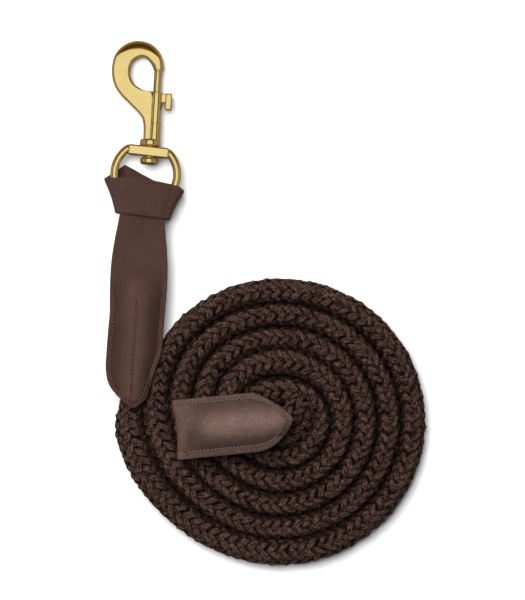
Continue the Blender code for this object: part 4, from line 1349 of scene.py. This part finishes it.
def lamp():
    """A large soft lamp above the table, aimed at its middle; metal and the camera do not see it."""
    data = bpy.data.lights.new("overhead", "AREA")
    data.shape = "RECTANGLE"
    data.size = data.size_y = LAMP_SIZE
    data.energy = LAMP_POWER
    overhead = bpy.data.objects.new("overhead", data)
    bpy.context.scene.collection.objects.link(overhead)
    x, y, z = LAMP_PLACE
    overhead.location = LAMP_PLACE
    overhead.rotation_euler = (math.pi / 2 - math.atan2(z, math.hypot(x, y)), 0, math.atan2(x, -y))
    overhead.visible_glossy = False
    overhead.visible_camera = False


def graded(nodes, links, source, stops):
    """Brightness that follows one component of the direction looked in."""
    ramp = nodes.new("ShaderNodeValToRGB")
    links.new(source, ramp.inputs[0])
    set_stops(ramp.color_ramp.elements, stops)
    return ramp.outputs[0]


def studio():
    """A soft white studio. Shiny surfaces see a bright ceiling, a dark band under it and a brown far wall."""
    room = bpy.data.worlds.new("studio")
    room.use_nodes = True
    nodes, links = room.node_tree.nodes, room.node_tree.links
    spot = nodes.new("ShaderNodeTexCoord")
    parts = nodes.new("ShaderNodeSeparateXYZ")
    links.new(spot.outputs["Generated"], parts.inputs[0])
    ceiling = graded(nodes, links, parts.outputs["Z"], CEILING)
    far_wall = graded(nodes, links, parts.outputs["Y"], FAR_WALL)
    seen = nodes.new("ShaderNodeVectorMath")
    seen.operation = "MULTIPLY"
    links.new(ceiling, seen.inputs[0])
    links.new(far_wall, seen.inputs[1])
    rays = nodes.new("ShaderNodeLightPath")
    pick = nodes.new("ShaderNodeMix")
    pick.data_type = "RGBA"
    links.new(rays.outputs["Is Glossy Ray"], pick.inputs[0])
    pick.inputs[6].default_value = (AMBIENT, AMBIENT, AMBIENT, 1)
    links.new(seen.outputs[0], pick.inputs[7])
    links.new(pick.outputs[2], nodes["Background"].inputs["Color"])
    bpy.context.scene.world = room


def camera():
    data = bpy.data.cameras.new("camera")
    eye = bpy.data.objects.new("camera", data)
    bpy.context.scene.collection.objects.link(eye)
    eye.location = (*world((*FRAME_CENTRE, 0.0))[:2], CAMERA_HEIGHT)
    data.lens = 36.0 * (CAMERA_HEIGHT - 0.007) / FRAME_HEIGHT
    data.clip_end = 10.0
    bpy.context.scene.camera = eye


def dress_frame_nodes(looks):
    """The CAD nodes that stay in view inside the leather take the same looks."""
    for name in ("rope_lead_whipping", "rope_tail_whipping"):
        node = frame["nodes"][name]
        for slot in node.material_slots:
            slot.material = looks["thread"]


def build():
    looks = {
        "yarn": yarn_look("braided_yarn", ROPE_COLOUR),
        "core": core_look(),
        "leather": leather_look("strap_leather", LEATHER_COLOUR),
        "cap": leather_look("cap_leather", CAP_COLOUR, (0.12, 1.0), 1.9, (0.28, 0.38), 0.45, 0.9, 0.1, 0.9),
        "edge": leather_look("cut_leather_edge", scaled(LEATHER_COLOUR, 1.1), rough=(0.65, 0.85), crown_light_and_shade=0),
        "thread": thread_look("waxed_thread", THREAD_COLOUR),
        "cap_thread": thread_look("cap_thread", CAP_THREAD_COLOUR),
        "brass": brass_look(),
        "steel": steel_look()}
    rope(looks["yarn"], looks["core"])
    clip_strap(looks["leather"], looks["edge"])
    clip_collar(looks["leather"], looks["edge"])
    clip_seams(looks["thread"])
    collar_seam(looks["thread"])
    end_cap(looks["cap"], looks["edge"])
    cap_seam(looks["cap_thread"])
    swivel_ring(looks["brass"])
    hook(looks["brass"])
    rivet(looks["brass"])
    bolt(looks["brass"])
    spring(looks["steel"])
    dress_frame_nodes(looks)
    stage()
    studio()
    lamp()
    camera()
    bpy.context.scene.view_settings.view_transform = "Standard"


build()
